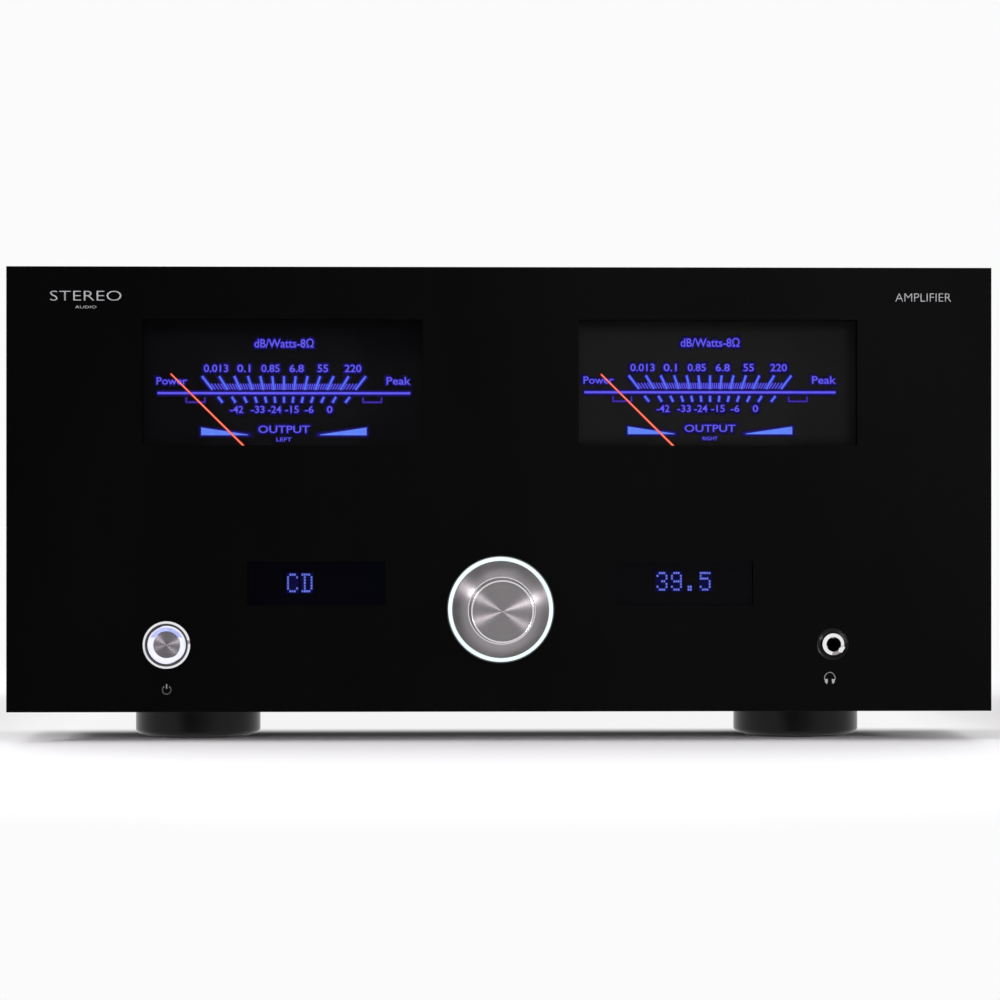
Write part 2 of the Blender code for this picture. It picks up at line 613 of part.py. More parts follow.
def inner_cables():
    """The mains lead from the inlet to the supply board, and the ribbon from front to rear boards."""
    top = TRAY_TOP + 0.008 + BOARD_THICKNESS
    start = Vector((INLET_X, REAR_Y - 0.030 - GAP, INLET_Z))
    end = Vector((-0.085 - GAP, 0.125, top + 0.007))
    points = [start + Vector((0, -0.003, 0)), start + Vector((0, -0.014, 0)),
              Vector((-0.150, 0.132, 0.066)), Vector((-0.118, 0.126, 0.050)),
              end + Vector((-0.014, 0, 0)), end + Vector((-0.003, 0, 0))]
    curve = bpy.data.curves.new("mains_lead", "CURVE")
    curve.dimensions = "3D"
    curve.bevel_depth = 0.0034
    curve.bevel_resolution = 2
    curve.use_fill_caps = True
    route = [start, *smooth_route(points, 5), end]
    spline = curve.splines.new("POLY")
    spline.points.add(len(route) - 1)
    for point, place in zip(spline.points, route):
        point.co = (*place, 1)
    lead = bpy.data.objects.new("mains_lead", curve)
    curve.materials.append(finish_of("cable_grey"))
    bpy.context.scene.collection.objects.link(lead)

    front, back = FRONT_BOARD_Y + BOARD_THICKNESS + GAP, REAR_IN_Y - 0.0118 - BOARD_THICKNESS - GAP
    path = [(0.092, front), (0.092, front + 0.012), (0.101, front + 0.030), (0.101, back - 0.030),
            (0.094, back - 0.012), (0.094, back)]
    thick = 0.0012
    outline = path + [(x + thick, y) for x, y in reversed(path)]
    plate("ribbon_cable", outline, [], 0.070, 0.090, "cable_grey", lying=True)


def smooth_route(points, steps):
    """Points along a smooth curve through the given ones (Catmull-Rom)."""
    padded = [points[0], *points, points[-1]]
    route = []
    for a, b, c, d in zip(padded, padded[1:], padded[2:], padded[3:]):
        for i in range(steps):
            t = i / steps
            route.append(0.5 * (2 * b + (c - a) * t + (2 * a - 5 * b + 4 * c - d) * t * t
                                + (3 * b - a - 3 * c + d) * t ** 3))
    return [*route, points[-1]]


# ---------------------------------------------------------------- rear connectors
def rca_places():
    """Centres of the phono sockets, column by column."""
    return [(RCA_FIRST_X + i * RCA_PITCH, z) for i in range(RCA_COLUMNS) for z in RCA_ROWS_Z]


def phono_sockets():
    """The block of phono sockets, and the block of digital and trigger sockets."""
    front, back = REAR_IN_Y - 0.0115, REAR_IN_Y - GAP
    middle = sum(RCA_ROWS_Z) / 2
    last = RCA_FIRST_X + (RCA_COLUMNS - 1) * RCA_PITCH
    block = box("phono_sockets", (RCA_FIRST_X - 0.010, front, middle - 0.019),
                (last + 0.010, back, middle + 0.019), "black_plastic")
    join(block, bars, *[((x, back - 0.001, z), (x, REAR_Y + 0.0095, z), 0.0041, 12)
                        for x, z in rca_places()])

    block = box("digital_sockets", (DIGITAL_X[0] - 0.010, front, middle - 0.019),
                (DIGITAL_X[2] + 0.010, back, middle + 0.019), "black_plastic")
    join(block, bars, *[((DIGITAL_X[0], back - 0.001, z), (DIGITAL_X[0], REAR_Y + 0.0095, z), 0.0041, 12)
                        for z in RCA_ROWS_Z])
    triggers = [((DIGITAL_X[2], back - 0.001, z), (DIGITAL_X[2], REAR_Y + 0.002, z), 0.0038, 12)
                for z in RCA_ROWS_Z]
    for i, bar in enumerate(triggers):
        shape = bmesh.new()
        add_cylinder(shape, *bar)
        boolean(block, helper(f"digital_sockets_trigger{i}", shape), "UNION")
    shape = bmesh.new()
    add_box(shape, (DIGITAL_X[1] - 0.006, back - 0.001, middle - 0.0055),
            (DIGITAL_X[1] + 0.006, REAR_Y + 0.0012, middle + 0.0055))
    boolean(block, helper("digital_sockets_usb", shape), "UNION")


def xlr_socket(x, name):
    """A balanced input: square flange, barrel through the panel, and a ring-shaped groove."""
    flange = box(name, (x - 0.013, REAR_Y + GAP, XLR_Z - 0.0155), (x + 0.013, REAR_Y + 0.0022, XLR_Z + 0.0155),
                 "black_plastic")
    join(flange, bars, ((x, REAR_Y - 0.028, XLR_Z), (x, REAR_Y + 0.001, XLR_Z), 0.0112, 16))
    groove = turned(f"{name}_groove", [
        (0.0078, REAR_Y - 0.012), (0.0095, REAR_Y - 0.012), (0.0095, REAR_Y + 0.004),
        (0.0078, REAR_Y + 0.004)], None, (x, 0, XLR_Z), sides=16, ring=True)
    boolean(flange, groove, "DIFFERENCE")
    cut(flange, bars, *[
        ((x + 0.004 * math.cos(a), REAR_Y - 0.010, XLR_Z + 0.004 * math.sin(a)),
         (x + 0.004 * math.cos(a), REAR_Y + 0.004, XLR_Z + 0.004 * math.sin(a)), 0.0012, 6)
        for a in (math.radians(30), math.radians(150), math.radians(270))])


def power_inlet():
    """The mains module: inlet with three pins, pull-out fuse drawer and rocker switch."""
    x, z = INLET_X, INLET_Z
    width, height = INLET_SIZE
    flange_back, face, deep = REAR_Y + GAP, REAR_Y + 0.0025, REAR_Y - 0.030
    body = box("power_inlet", (x - width / 2, flange_back, z - height / 2),
               (x + width / 2, face, z + height / 2), "black_plastic")
    shell = ((x - width / 2 + 0.003, deep, z - height / 2 + 0.003),
             (x + width / 2 - 0.003, flange_back + 0.001, z + height / 2 - 0.003))
    join(body, boxes, shell)
    socket_z, drawer_z, rocker_z = z - 0.0195, z + 0.0015, z + 0.0215
    out = 0.002
    cut(body, boxes,
        ((x - 0.0123, face - 0.0165, socket_z - 0.0085), (x + 0.0123, face + out, socket_z + 0.0085)),
        ((x - 0.0145, face - 0.0260, drawer_z - 0.0050), (x + 0.0145, face + out, drawer_z + 0.0050)),
        ((x - 0.0115, face - 0.0140, rocker_z - 0.0100), (x + 0.0115, face + out, rocker_z + 0.0100)))
    pins = [(x - 0.007, socket_z - 0.002), (x + 0.007, socket_z - 0.002), (x, socket_z + 0.002)]
    for i, (px, pz) in enumerate(pins):
        shape = bmesh.new()
        add_box(shape, (px - 0.001, face - 0.0175, pz - 0.002), (px + 0.001, face - 0.0055, pz + 0.002))
        boolean(body, helper(f"power_inlet_pin{i}", shape), "UNION")

    drawer = box("fuse_drawer", (x - 0.0141, face - 0.0250, drawer_z - 0.0046),
                 (x + 0.0141, face + 0.0010, drawer_z + 0.0046), "black_plastic")
    cut(drawer, boxes, ((x - 0.0110, face - 0.0230, drawer_z - 0.0030),
                        (x + 0.0110, face - 0.0040, drawer_z + 0.0070)))

    reach, thick, tilt = 0.0092, 0.0050, math.radians(9)
    hub = Vector((x, face - 0.0035, rocker_z))
    profile = [(-0.0045, 0), (0.0026, reach), (0.0014, 0), (0.0026, -reach)]
    shape = bmesh.new()
    rim = [shape.verts.new((-0.0108, y, rise)) for y, rise in profile]
    face_of = shape.faces.new(rim)
    swept = bmesh.ops.extrude_face_region(shape, geom=[face_of])["geom"]
    bmesh.ops.translate(shape, vec=(0.0216, 0, 0), verts=[v for v in swept if isinstance(v, bmesh.types.BMVert)])
    rocker = object_from("mains_rocker", shape, "black_plastic", hub)
    rocker.rotation_euler.x = tilt


def speaker_terminals():
    """For each channel an insulating plate with two gilt posts, and a screw cap on each post."""
    plate_back, plate_front = REAR_Y + GAP, REAR_Y + 0.0030
    collar_end = REAR_Y + 0.0073
    cap_start, cap_end = collar_end + GAP, REAR_Y + REAR_REACH
    for channel, x in TERMINAL_X.items():
        base = box(f"{channel}_speaker_terminal", (x - 0.029, plate_back, TERMINAL_Z - 0.0155),
                   (x + 0.029, plate_front, TERMINAL_Z + 0.0155), "black_plastic")
        posts = (("negative", x - POST_SPACING / 2), ("positive", x + POST_SPACING / 2))
        join(base, boxes, ((x - 0.0235, REAR_IN_Y - 0.006, TERMINAL_Z - 0.0105),
                           (x + 0.0235, plate_back + 0.001, TERMINAL_Z + 0.0105)))
        for polarity, post_x in posts:
            profile = [
                (0, plate_front - 0.001), (0.0070, plate_front - 0.001), (0.0070, collar_end),
                (0.0025, collar_end), (0.0025, cap_end - 0.0045), (0, cap_end - 0.0045)]
            post = turned(f"{channel}_{polarity}_post", profile, None, (post_x, 0, TERMINAL_Z), sides=20)
            boolean(base, post, "UNION")
            profile = [
                (0.0028, cap_start), (0.0068, cap_start), (0.0075, cap_start + 0.0012),
                (0.0075, cap_end - 0.0060), (0.0068, cap_end - 0.0008), (0.0062, cap_end),
                (0.0028, cap_end)]
            turned(f"{channel}_{polarity}_cap", profile,
                   "red_plastic" if polarity == "positive" else "black_plastic",
                   (post_x, 0, TERMINAL_Z), sides=20, ring=True)


def build():
    clear_scene()
    front_panel()
    volume_control()
    power_control()
    headphone_socket()
    meter(-1, "left")
    meter(1, "right")
    displays_and_board()
    case()
    feet()
    transformer()
    heatsink_side(-1, "left")
    heatsink_side(1, "right")
    boards()
    inner_cables()
    phono_sockets()
    xlr_socket(XLR_X[0], "xlr_socket_right")
    xlr_socket(XLR_X[1], "xlr_socket_left")
    power_inlet()
    speaker_terminals()


build()
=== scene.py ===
"""The looks of the integrated amplifier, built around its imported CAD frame.

Metres, +Z up, and the front faces -Y. Positions come from the boxes of the CAD nodes.
"""
import math
import random

import bmesh
import bpy
from mathutils import Matrix, Vector


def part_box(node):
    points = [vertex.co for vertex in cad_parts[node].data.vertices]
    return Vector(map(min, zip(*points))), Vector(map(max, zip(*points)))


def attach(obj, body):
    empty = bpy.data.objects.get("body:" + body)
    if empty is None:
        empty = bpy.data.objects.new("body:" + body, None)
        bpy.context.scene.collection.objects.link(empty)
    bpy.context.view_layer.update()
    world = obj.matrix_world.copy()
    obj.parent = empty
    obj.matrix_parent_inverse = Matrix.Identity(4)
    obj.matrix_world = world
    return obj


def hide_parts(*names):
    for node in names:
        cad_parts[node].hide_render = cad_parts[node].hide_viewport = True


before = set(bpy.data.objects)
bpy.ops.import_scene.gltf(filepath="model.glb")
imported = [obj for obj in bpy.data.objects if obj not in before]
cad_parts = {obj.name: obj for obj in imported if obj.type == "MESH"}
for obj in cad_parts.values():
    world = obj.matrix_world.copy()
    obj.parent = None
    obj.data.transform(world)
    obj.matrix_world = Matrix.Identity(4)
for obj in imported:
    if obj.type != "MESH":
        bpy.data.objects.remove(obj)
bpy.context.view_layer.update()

CASE = "case"
HAIR = 0.00005          # how far a print stands off the surface that carries it

# ---------------------------------------------------------------- places read from the CAD
GLASS_LOW, GLASS_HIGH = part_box("front_glass")
FACE_Y = GLASS_LOW.y
REAR_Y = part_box("rear_panel")[1].y
PANEL_BOTTOM = GLASS_LOW.z
COVER_LOW, COVER_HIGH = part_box("top_cover")
METER_WINDOW = (0.122, 0.055)
DISPLAY_WINDOW = (0.060, 0.019)
METER_Z = PANEL_BOTTOM + 0.1436


def middle(node):
    """The centre of a CAD node's box."""
    low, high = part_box(node)
    return (low + high) / 2


# ---------------------------------------------------------------- materials
def nodes_of(name):
    """A new material with its node tree and its Principled shader."""
    made = bpy.data.materials.new(name)
    made.use_nodes = True
    tree = made.node_tree
    return made, tree, tree.nodes["Principled BSDF"]


def plug(tree, node, **inputs):
    """Fills a node's inputs by name, with _ for a space. A socket is linked, and a value is set."""
    for name, value in inputs.items():
        socket = node.inputs[name.replace("_", " ")]
        if isinstance(value, bpy.types.NodeSocket):
            tree.links.new(value, socket)
        else:
            socket.default_value = value
    return node


def add(tree, kind, **inputs):
    """A new shader node with some of its inputs filled."""
    return plug(tree, tree.nodes.new(f"ShaderNode{kind}"), **inputs)


def coordinates(tree, stretch=(1, 1, 1)):
    """Object coordinates, stretched, so that a pattern keeps its size and stays on its piece."""
    place = add(tree, "TexCoord").outputs["Object"]
    return add(tree, "Mapping", Vector=place, Scale=stretch).outputs["Vector"]


def axes(tree, output="Object"):
    """The X, Y and Z sockets of a texture coordinate."""
    return add(tree, "SeparateXYZ", Vector=add(tree, "TexCoord").outputs[output]).outputs


def vector_of(tree, **parts):
    """A vector put together from the sockets given for X, Y and Z."""
    return add(tree, "CombineXYZ", **parts).outputs["Vector"]


def length(tree, vector):
    node = add(tree, "VectorMath", Vector=vector)
    node.operation = "LENGTH"
    return node.outputs["Value"]


def maths(tree, operation, *values):
    """A Math node's result for one or two sockets."""
    node = add(tree, "Math")
    node.operation = operation
    for socket, value in zip(node.inputs, values):
        tree.links.new(value, socket)
    return node.outputs["Value"]


def blend(tree, factor, first, second):
    """Mixes two colours, each given as numbers or as a socket, by a factor socket."""
    mix = add(tree, "Mix")
    mix.data_type = "RGBA"
    sockets = {socket.identifier: socket for socket in [*mix.inputs, *mix.outputs]}
    tree.links.new(factor, sockets["Factor_Float"])
    for name, colour in (("A_Color", first), ("B_Color", second)):
        if isinstance(colour, bpy.types.NodeSocket):
            tree.links.new(colour, sockets[name])
        else:
            sockets[name].default_value = (*colour, 1)
    return sockets["Result_Color"]


def times(colour, share):
    """A darker or lighter version of a colour."""
    return tuple(min(1, c * share) for c in colour)


def noise(tree, vector, scale, detail=4.0, roughness=0.55):
    """A noise of a given frequency per metre."""
    return add(tree, "TexNoise", Vector=vector, Scale=scale, Detail=detail,
               Roughness=roughness).outputs["Fac"]


def spread(tree, value, low, high, to_low=0.0, to_high=1.0, smooth=False):
    """Maps a value from one range to another, and holds it there."""
    node = add(tree, "MapRange", Value=value, From_Min=low, From_Max=high, To_Min=to_low, To_Max=to_high)
    node.interpolation_type = "SMOOTHSTEP" if smooth else "LINEAR"
    return node.outputs["Result"]


def bump(tree, height, distance, strength=1.0):
    return add(tree, "Bump", Height=height, Distance=distance, Strength=strength).outputs["Normal"]


def finish(name, colour, roughness, metallic, scale, stretch=(1, 1, 1), vary=0.12, rough_vary=0.15,
           relief=0.0, **shader_values):
    """A surface whose colour, roughness and height follow a fine noise and a broad one. scale is the
    fine grain's frequency per metre, and relief its height in metres."""
    made, tree, shader = nodes_of(name)
    fine = noise(tree, coordinates(tree, stretch), scale)
    broad = noise(tree, coordinates(tree), 22.0, 3.0)
    tone = blend(tree, spread(tree, fine, 0.35, 0.65), times(colour, 1 - vary), times(colour, 1 + vary))
    tone = blend(tree, spread(tree, broad, 0.42, 0.75, 0.0, 0.5), tone, times(colour, 1 - vary / 2))
    patchy = spread(tree, broad, 0.35, 0.7, roughness * (1 - rough_vary), roughness * (1 + rough_vary))
    plug(tree, shader, Base_Color=tone, Roughness=patchy, Metallic=metallic, **shader_values)
    if relief:
        plug(tree, shader, Normal=bump(tree, fine, relief))
    return made


def radial_brushed(name, colour, roughness, rings, relief=0.6):
    """Metal brushed in circles about its own Y axis: fine rings in colour and height, and a highlight
    drawn out across them. rings is their frequency per metre."""
    made, tree, shader = nodes_of(name)
    x, y, z = axes(tree)
    radius = length(tree, vector_of(tree, X=x, Y=z))
    ring = noise(tree, vector_of(tree, X=radius, Y=y), rings, 6.0, 0.75)
    broad = noise(tree, coordinates(tree), 60.0, 3.0)
    tangent = add(tree, "Tangent")
    tangent.direction_type = "RADIAL"
    tangent.axis = "Y"
    plug(tree, shader, Metallic=1.0, Anisotropic=0.95, Anisotropic_Rotation=0.25,
         Base_Color=blend(tree, spread(tree, ring, 0.3, 0.7), times(colour, 0.86), times(colour, 1.12)),
         Roughness=spread(tree, broad, 0.3, 0.7, roughness * 0.9, roughness * 1.12),
         Normal=bump(tree, ring, 0.000004, relief), Tangent=tangent.outputs["Tangent"])
    return made


def lit(name, colour, strength, vary=0.06, scale=300.0, gloss=0.1):
    """A lit print or lens: its glow varies a little, as ink and moulding do."""
    made, tree, shader = nodes_of(name)
    grain = noise(tree, coordinates(tree), scale, 3.0)
    glow = blend(tree, spread(tree, grain, 0.35, 0.65), times(colour, 1 - vary), times(colour, 1 + vary))
    plug(tree, shader, Emission_Color=glow, Emission_Strength=strength, Roughness=0.5,
         Base_Color=blend(tree, grain, times(colour, 0.10), times(colour, 0.16)),
         Specular_IOR_Level=gloss)
    return made


def dial_card(name, glow):
    """A dial's ground: dark card whose glow is partly the meter's backlight and partly painted light, even
    behind the window and fading out near its edges.
    """
    made, tree, shader = nodes_of(name)
    x, _, z = axes(tree)
    lit_width, lit_height, fade = METER_WINDOW[0] + 0.004, METER_WINDOW[1] + 0.001, 0.006
    shares = [spread(tree, maths(tree, "ABSOLUTE", axis), span / 2 - fade, span / 2, 1.0, 0.0, smooth=True)
              for axis, span in ((x, lit_width), (z, lit_height))]
    paper = noise(tree, coordinates(tree), 1600.0, 4.0)
    lit_card = blend(tree, spread(tree, paper, 0.3, 0.7), times(glow, 0.93), times(glow, 1.07))
    card = (0.002, 0.002, 0.0025)
    plug(tree, shader, Emission_Strength=1.0, Roughness=0.7, Specular_IOR_Level=0.1,
         Emission_Color=blend(tree, maths(tree, "MULTIPLY", *shares), times(glow, 0.25), lit_card),
         Base_Color=blend(tree, paper, times(card, 0.9), times(card, 1.1)))
    return made


def polished_glass(name, alpha=1.0, dusty=0.3):
    """Polished black glass with the faintest haze of wiping marks."""
    made, tree, shader = nodes_of(name)
    wiped = noise(tree, coordinates(tree, (1, 1, 0.35)), 14.0, 5.0, 0.6)
    dust = noise(tree, coordinates(tree), 2600.0, 2.0)
    haze = blend(tree, spread(tree, wiped, 0.4, 0.75), (0.0006, 0.0006, 0.0007), (0.0012, 0.0012, 0.0013))
    tone = blend(tree, spread(tree, dust, 0.70, 0.80, 0.0, dusty), haze, (0.004, 0.004, 0.0045))
    plug(tree, shader, Base_Color=tone, Roughness=spread(tree, wiped, 0.35, 0.75, 0.035, 0.075),
         Specular_IOR_Level=0.11, IOR=1.5, Alpha=alpha)
    return made


MATERIALS = {
    "glass": polished_glass("black_glass"),
    "window": polished_glass("smoked_window", 0.12, 0.0),
    "knob": radial_brushed("knob_brushed_metal", (0.43, 0.405, 0.42), 0.36, 5200.0),
    "knob_edge": finish("knob_polished_edge", (0.80, 0.78, 0.79), 0.12, 1.0, 4000.0, vary=0.04),
    "button": radial_brushed("button_brushed_metal", (0.37, 0.345, 0.37), 0.58, 5000.0, 0.12),
    "chrome": finish("polished_chrome", (0.96, 0.96, 0.965), 0.07, 1.0, 700.0, vary=0.03),
    "nickel": finish("nickel_plate", (0.62, 0.60, 0.57), 0.24, 1.0, 2500.0, vary=0.06),
    "gold": finish("gold_plate", (0.86, 0.60, 0.22), 0.20, 1.0, 2500.0, vary=0.06),
    "steel": finish("black_powder_coat", (0.017, 0.017, 0.018), 0.46, 0.0, 2400.0, vary=0.25,
                    rough_vary=0.08, relief=0.00004, Coat_Weight=0.15, Coat_Roughness=0.35),
    "cover": finish("matt_powder_coat", (0.016, 0.016, 0.017), 0.62, 0.0, 2400.0, vary=0.22,
                    rough_vary=0.015, relief=0.00005, Specular_IOR_Level=0.28),
    "foot": finish("anodised_foot", (0.006, 0.0052, 0.0052), 0.24, 0.10, 2000.0, (1, 1, 8), vary=0.2,
                   relief=0.000006, Specular_IOR_Level=0.22),
    "rubber": finish("rubber_pad", (0.020, 0.020, 0.020), 0.75, 0.0, 1800.0, vary=0.3, relief=0.00005),
    "plastic": finish("moulded_black", (0.009, 0.009, 0.0095), 0.36, 0.0, 1500.0, vary=0.2,
                      relief=0.00002, Specular_IOR_Level=0.38),
    "dark": finish("satin_black_nut", (0.004, 0.004, 0.004), 0.34, 0.0, 1500.0, vary=0.2,
                   Specular_IOR_Level=0.14),
    "red": finish("moulded_red", (0.42, 0.012, 0.014), 0.32, 0.0, 1500.0, vary=0.12, relief=0.00001),
    "white": finish("moulded_white", (0.70, 0.69, 0.66), 0.4, 0.0, 1500.0, vary=0.05),
    "grey": finish("cast_grey_metal", (0.24, 0.24, 0.25), 0.42, 0.9, 1300.0, vary=0.12, relief=0.00002),
    "sink": finish("anodised_heatsink", (0.020, 0.020, 0.021), 0.45, 0.5, 1200.0, (1, 1, 0.1),
                   relief=0.00002),
    "bare": finish("bare_aluminium", (0.60, 0.60, 0.61), 0.34, 1.0, 900.0, (12, 1, 1), relief=0.00001),
    "board": finish("circuit_board", (0.012, 0.075, 0.030), 0.38, 0.0, 350.0, vary=0.45, relief=0.00003),
    "winding": finish("winding_tape", (0.46, 0.27, 0.06), 0.42, 0.1, 420.0, (1, 1, 0.15), vary=0.3,
                      relief=0.0002),
    "sheath": finish("cable_sheath", (0.20, 0.20, 0.21), 0.55, 0.0, 1500.0, relief=0.00003),
    "ink": finish("silkscreen_grey", (0.29, 0.29, 0.30), 0.6, 0.0, 3000.0, vary=0.1),
    "faint_ink": finish("silkscreen_faint", (0.16, 0.16, 0.17), 0.6, 0.0, 3000.0, vary=0.1),
    "pale_ink": finish("silkscreen_white", (0.62, 0.62, 0.63), 0.6, 0.0, 3000.0, vary=0.08),
    # The dials' grounds glow with painted light. The right one's stronger glow is a painted reflection.
    "dial_left": dial_card("dial_ground_left", (0.0011, 0.0011, 0.0016)),
    "dial_right": dial_card("dial_ground_right", (0.0088, 0.0086, 0.0088)),
    "blue": lit("dial_print", (0.135, 0.115, 0.98), 1.1),
    "bracket": lit("dial_bracket", (0.09, 0.035, 0.42), 1.0),
    "tick": lit("dial_ticks", (0.095, 0.155, 1.0), 1.15),
    "wedge": lit("dial_wedge", (0.125, 0.24, 1.0), 1.15),
    # Painted glow that spreads round the lit print on the dials.
    "halo": lit("dial_print_halo", (0.016, 0.008, 0.22), 1.0),
    "haze": lit("dial_print_haze", (0.005, 0.003, 0.045), 1.0),
    # The needle's red glows with painted light for the meter lamp's light on it, and its ridge is a painted
    # highlight.
    "needle": lit("needle_red_with_painted_light", (0.95, 0.055, 0.020), 1.1),
    "ridge_highlight": lit("needle_ridge_highlight", (1.0, 0.34, 0.24), 1.15),
    "ring": lit("ring_lens", (0.84, 0.95, 0.985), 1.0, 0.03, 120.0),
    "button_ring": lit("button_ring_lens", (0.80, 0.81, 0.96), 1.0, 0.05, 300.0, 0.03),
    "button_shade": lit("button_ring_shade", (0.42, 0.46, 0.80), 1.0, 0.14, 500.0, 0.03),
    "shaded_chrome": finish("chrome_in_shade", (0.42, 0.36, 0.36), 0.16, 1.0, 900.0, vary=0.05),
    # Painted shade for the power bezel's inner groove.
    "groove": finish("groove_painted_shade", (0.05, 0.045, 0.044), 0.55, 0.5, 3000.0),
    "screen_left": lit("display_filter_left", (0.0007, 0.0008, 0.0026), 1.0, 0.3, 60.0, 0.02),
    "screen_right": lit("display_filter_right", (0.0032, 0.0032, 0.0040), 1.0, 0.1, 60.0, 0.02),
    "dot": lit("display_dot", (0.15, 0.20, 0.96), 1.15, 0.25, 900.0),
    "cell": lit("display_cell", (0.0008, 0.0006, 0.045), 1.0, 0.2, 600.0),
}


# ---------------------------------------------------------------- making pieces
def piece(name, shape, materials, body=CASE, at=(0, 0, 0), stands_for=(), smooth=35):
    """A piece from a bmesh whose points are relative to at. It rides on a body, and stands for some
    CAD nodes."""
    bmesh.ops.recalc_face_normals(shape, faces=shape.faces)
    mesh = bpy.data.meshes.new(name)
    shape.to_mesh(mesh)
    shape.free()
    keys = [materials] if isinstance(materials, str) else materials
    for key in keys:
        mesh.materials.append(MATERIALS[key])
    if smooth:
        mesh.shade_smooth()
        mesh.set_sharp_from_angle(angle=math.radians(smooth))
    made = bpy.data.objects.new(name, mesh)
    made.location = at
    bpy.context.scene.collection.objects.link(made)
    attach(made, body)
    if stands_for:
        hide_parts(*stands_for)
    return made


def soften(made, width, segments=2, angle=35):
    """Rounds a piece's edges."""
    rounded = made.modifiers.new("rounded", "BEVEL")
    rounded.width = width
    rounded.segments = segments
    rounded.limit_method = "ANGLE"
    rounded.angle_limit = math.radians(angle)
    rounded.harden_normals = True


def lathe(shape, profile, steps, axis="Y", ring=False, material=0):
    """Adds a turned form to a bmesh. profile lists (radius, distance along the axis), and a ring's
    profile is closed."""
    points = [shape.verts.new((r, d, 0) if axis == "Y" else (r, 0, d)) for r, d in profile]
    pairs = zip(points, points[1:] + points[:1] if ring else points[1:])
    edges = [shape.edges.new(pair) for pair in pairs]
    before = set(shape.faces)
    bmesh.ops.spin(shape, geom=points + edges, cent=(0, 0, 0), axis=(0, axis == "Y", axis == "Z"),
                   angle=2 * math.pi, steps=steps, use_duplicate=False)
    made = [face for face in shape.faces if face not in before]
    corners = list(dict.fromkeys(vert for face in made for vert in face.verts))
    bmesh.ops.remove_doubles(shape, verts=corners, dist=1e-6)
    for face in shape.faces:
        if face not in before:
            face.material_index = material
    return shape


def turned(name, profile, material, at, body=CASE, steps=96, axis="Y", ring=False, stands_for=(),
           smooth=30):
    """A piece that is one turned form."""
    shape = lathe(bmesh.new(), profile, steps, axis, ring)
    piece(name, shape, material, body, at, stands_for, smooth)


def add_box(shape, low, high, material=0):
    low, high = Vector(low), Vector(high)
    place = Matrix.Translation((low + high) / 2) @ Matrix.Diagonal((*(high - low), 1))
    made = bmesh.ops.create_cube(shape, size=1, matrix=place)["verts"]
    for face in {face for vert in made for face in vert.link_faces}:
        face.material_index = material
    return shape


def extrude(shape, faces, vec, keep=False):
    """Sweeps faces of a bmesh along vec, and returns the points that moved. keep leaves the start."""
    swept = bmesh.ops.extrude_face_region(shape, geom=faces, use_keep_orig=keep)["geom"]
    moved = [item for item in swept if isinstance(item, bmesh.types.BMVert)]
    bmesh.ops.translate(shape, vec=vec, verts=moved)
    return moved


def join(shape, extra):
    """Adds one bmesh to another, and frees it."""
    spare = bpy.data.meshes.new("spare")
    extra.to_mesh(spare)
    extra.free()
    shape.from_mesh(spare)


def paint(shape, material, where):
    """Gives another material to the faces whose centre passes a test."""
    for face in shape.faces:
        if where(face.calc_center_median()):
            face.material_index = material


def from_axis(spot):
    """How far a point is from the Y axis."""
    return math.hypot(spot.x, spot.z)


def add_slab(shape, outline, front, back, material=0):
    """Adds a flat shape in the XZ plane, from Y front to Y back, to a bmesh."""
    corners = [shape.verts.new((x, front, z)) for x, z in outline]
    moved = extrude(shape, [shape.faces.new(corners)], (0, back - front, 0))
    for face in {face for vert in [*corners, *moved] for face in vert.link_faces}:
        face.material_index = material
    return shape


def add_stroke(shape, points, width, front, back, material=0):
    """Adds a flat line of even width along points in the XZ plane."""
    for start, end in zip(points, points[1:]):
        start, end = Vector(start), Vector(end)
        along = (end - start).normalized() * width / 2
        across = Vector((-along.y, along.x))
        start, end = start - along / 2, end + along / 2
        outline = (start + across, end + across, end - across, start - across)
        add_slab(shape, outline, front, back, material)


def add_text(shape, words, x, z, height, y, width=None, bold=0.0, towards=-1):
    """Adds letters to a bmesh, centred on x and z with a given height of their capitals, at a depth y
    and facing -Y or, with towards=1, +Y."""
    curve = bpy.data.curves.new("letters", "FONT")
    curve.body = words
    curve.size = 1
    curve.offset = bold
    curve.resolution_u = 3
    letters = curve_mesh(curve)
    spots = [vert.co for vert in letters.verts]
    low_x, high_x = min(p.x for p in spots), max(p.x for p in spots)
    low_z, high_z = min(p.y for p in spots), max(p.y for p in spots)
    rise = height / (high_z - low_z)
    run = width / (high_x - low_x) if width else rise
    centre_x, centre_z = (low_x + high_x) / 2, (low_z + high_z) / 2
    for vert in letters.verts:
        vert.co = (x - towards * (vert.co.x - centre_x) * run, y, z + (vert.co.y - centre_z) * rise)
    extrude(letters, list(letters.faces), (0, towards * HAIR, 0))
    join(shape, letters)


def curve_mesh(curve):
    """A curve's filled mesh, as a bmesh in the XY plane."""
    flat = bpy.data.objects.new("flat", curve)
    shape = bmesh.new()
    shape.from_mesh(bpy.data.meshes.new_from_object(flat))
    bpy.data.objects.remove(flat)
    return shape


def circle(x, z, radius, sides):
    step = 2 * math.pi / sides
    return [(x + radius * math.cos(i * step), z + radius * math.sin(i * step)) for i in range(sides)]


def rectangle(x, z, width, height):
    return [(x + a * width / 2, z + b * height / 2) for a, b in ((-1, -1), (1, -1), (1, 1), (-1, 1))]


def round_ended(x, y, length, width):
    """A slot's outline along X, with round ends."""
    outline, sides = [], 8
    for side, start in ((1, -90), (-1, 90)):
        for i in range(sides + 1):
            angle = math.radians(start + 180 * i / sides)
            outline.append((x + side * (length - width) / 2 + width / 2 * math.cos(angle),
                            y + width / 2 * math.sin(angle)))
    return outline


def arc(x, z, radius, angles):
    """Points round a centre in the XZ plane, at angles in degrees from +Z towards +X."""
    turns = [math.radians(angle) for angle in angles]
    return [(x + radius * math.sin(a), z + radius * math.cos(a)) for a in turns]


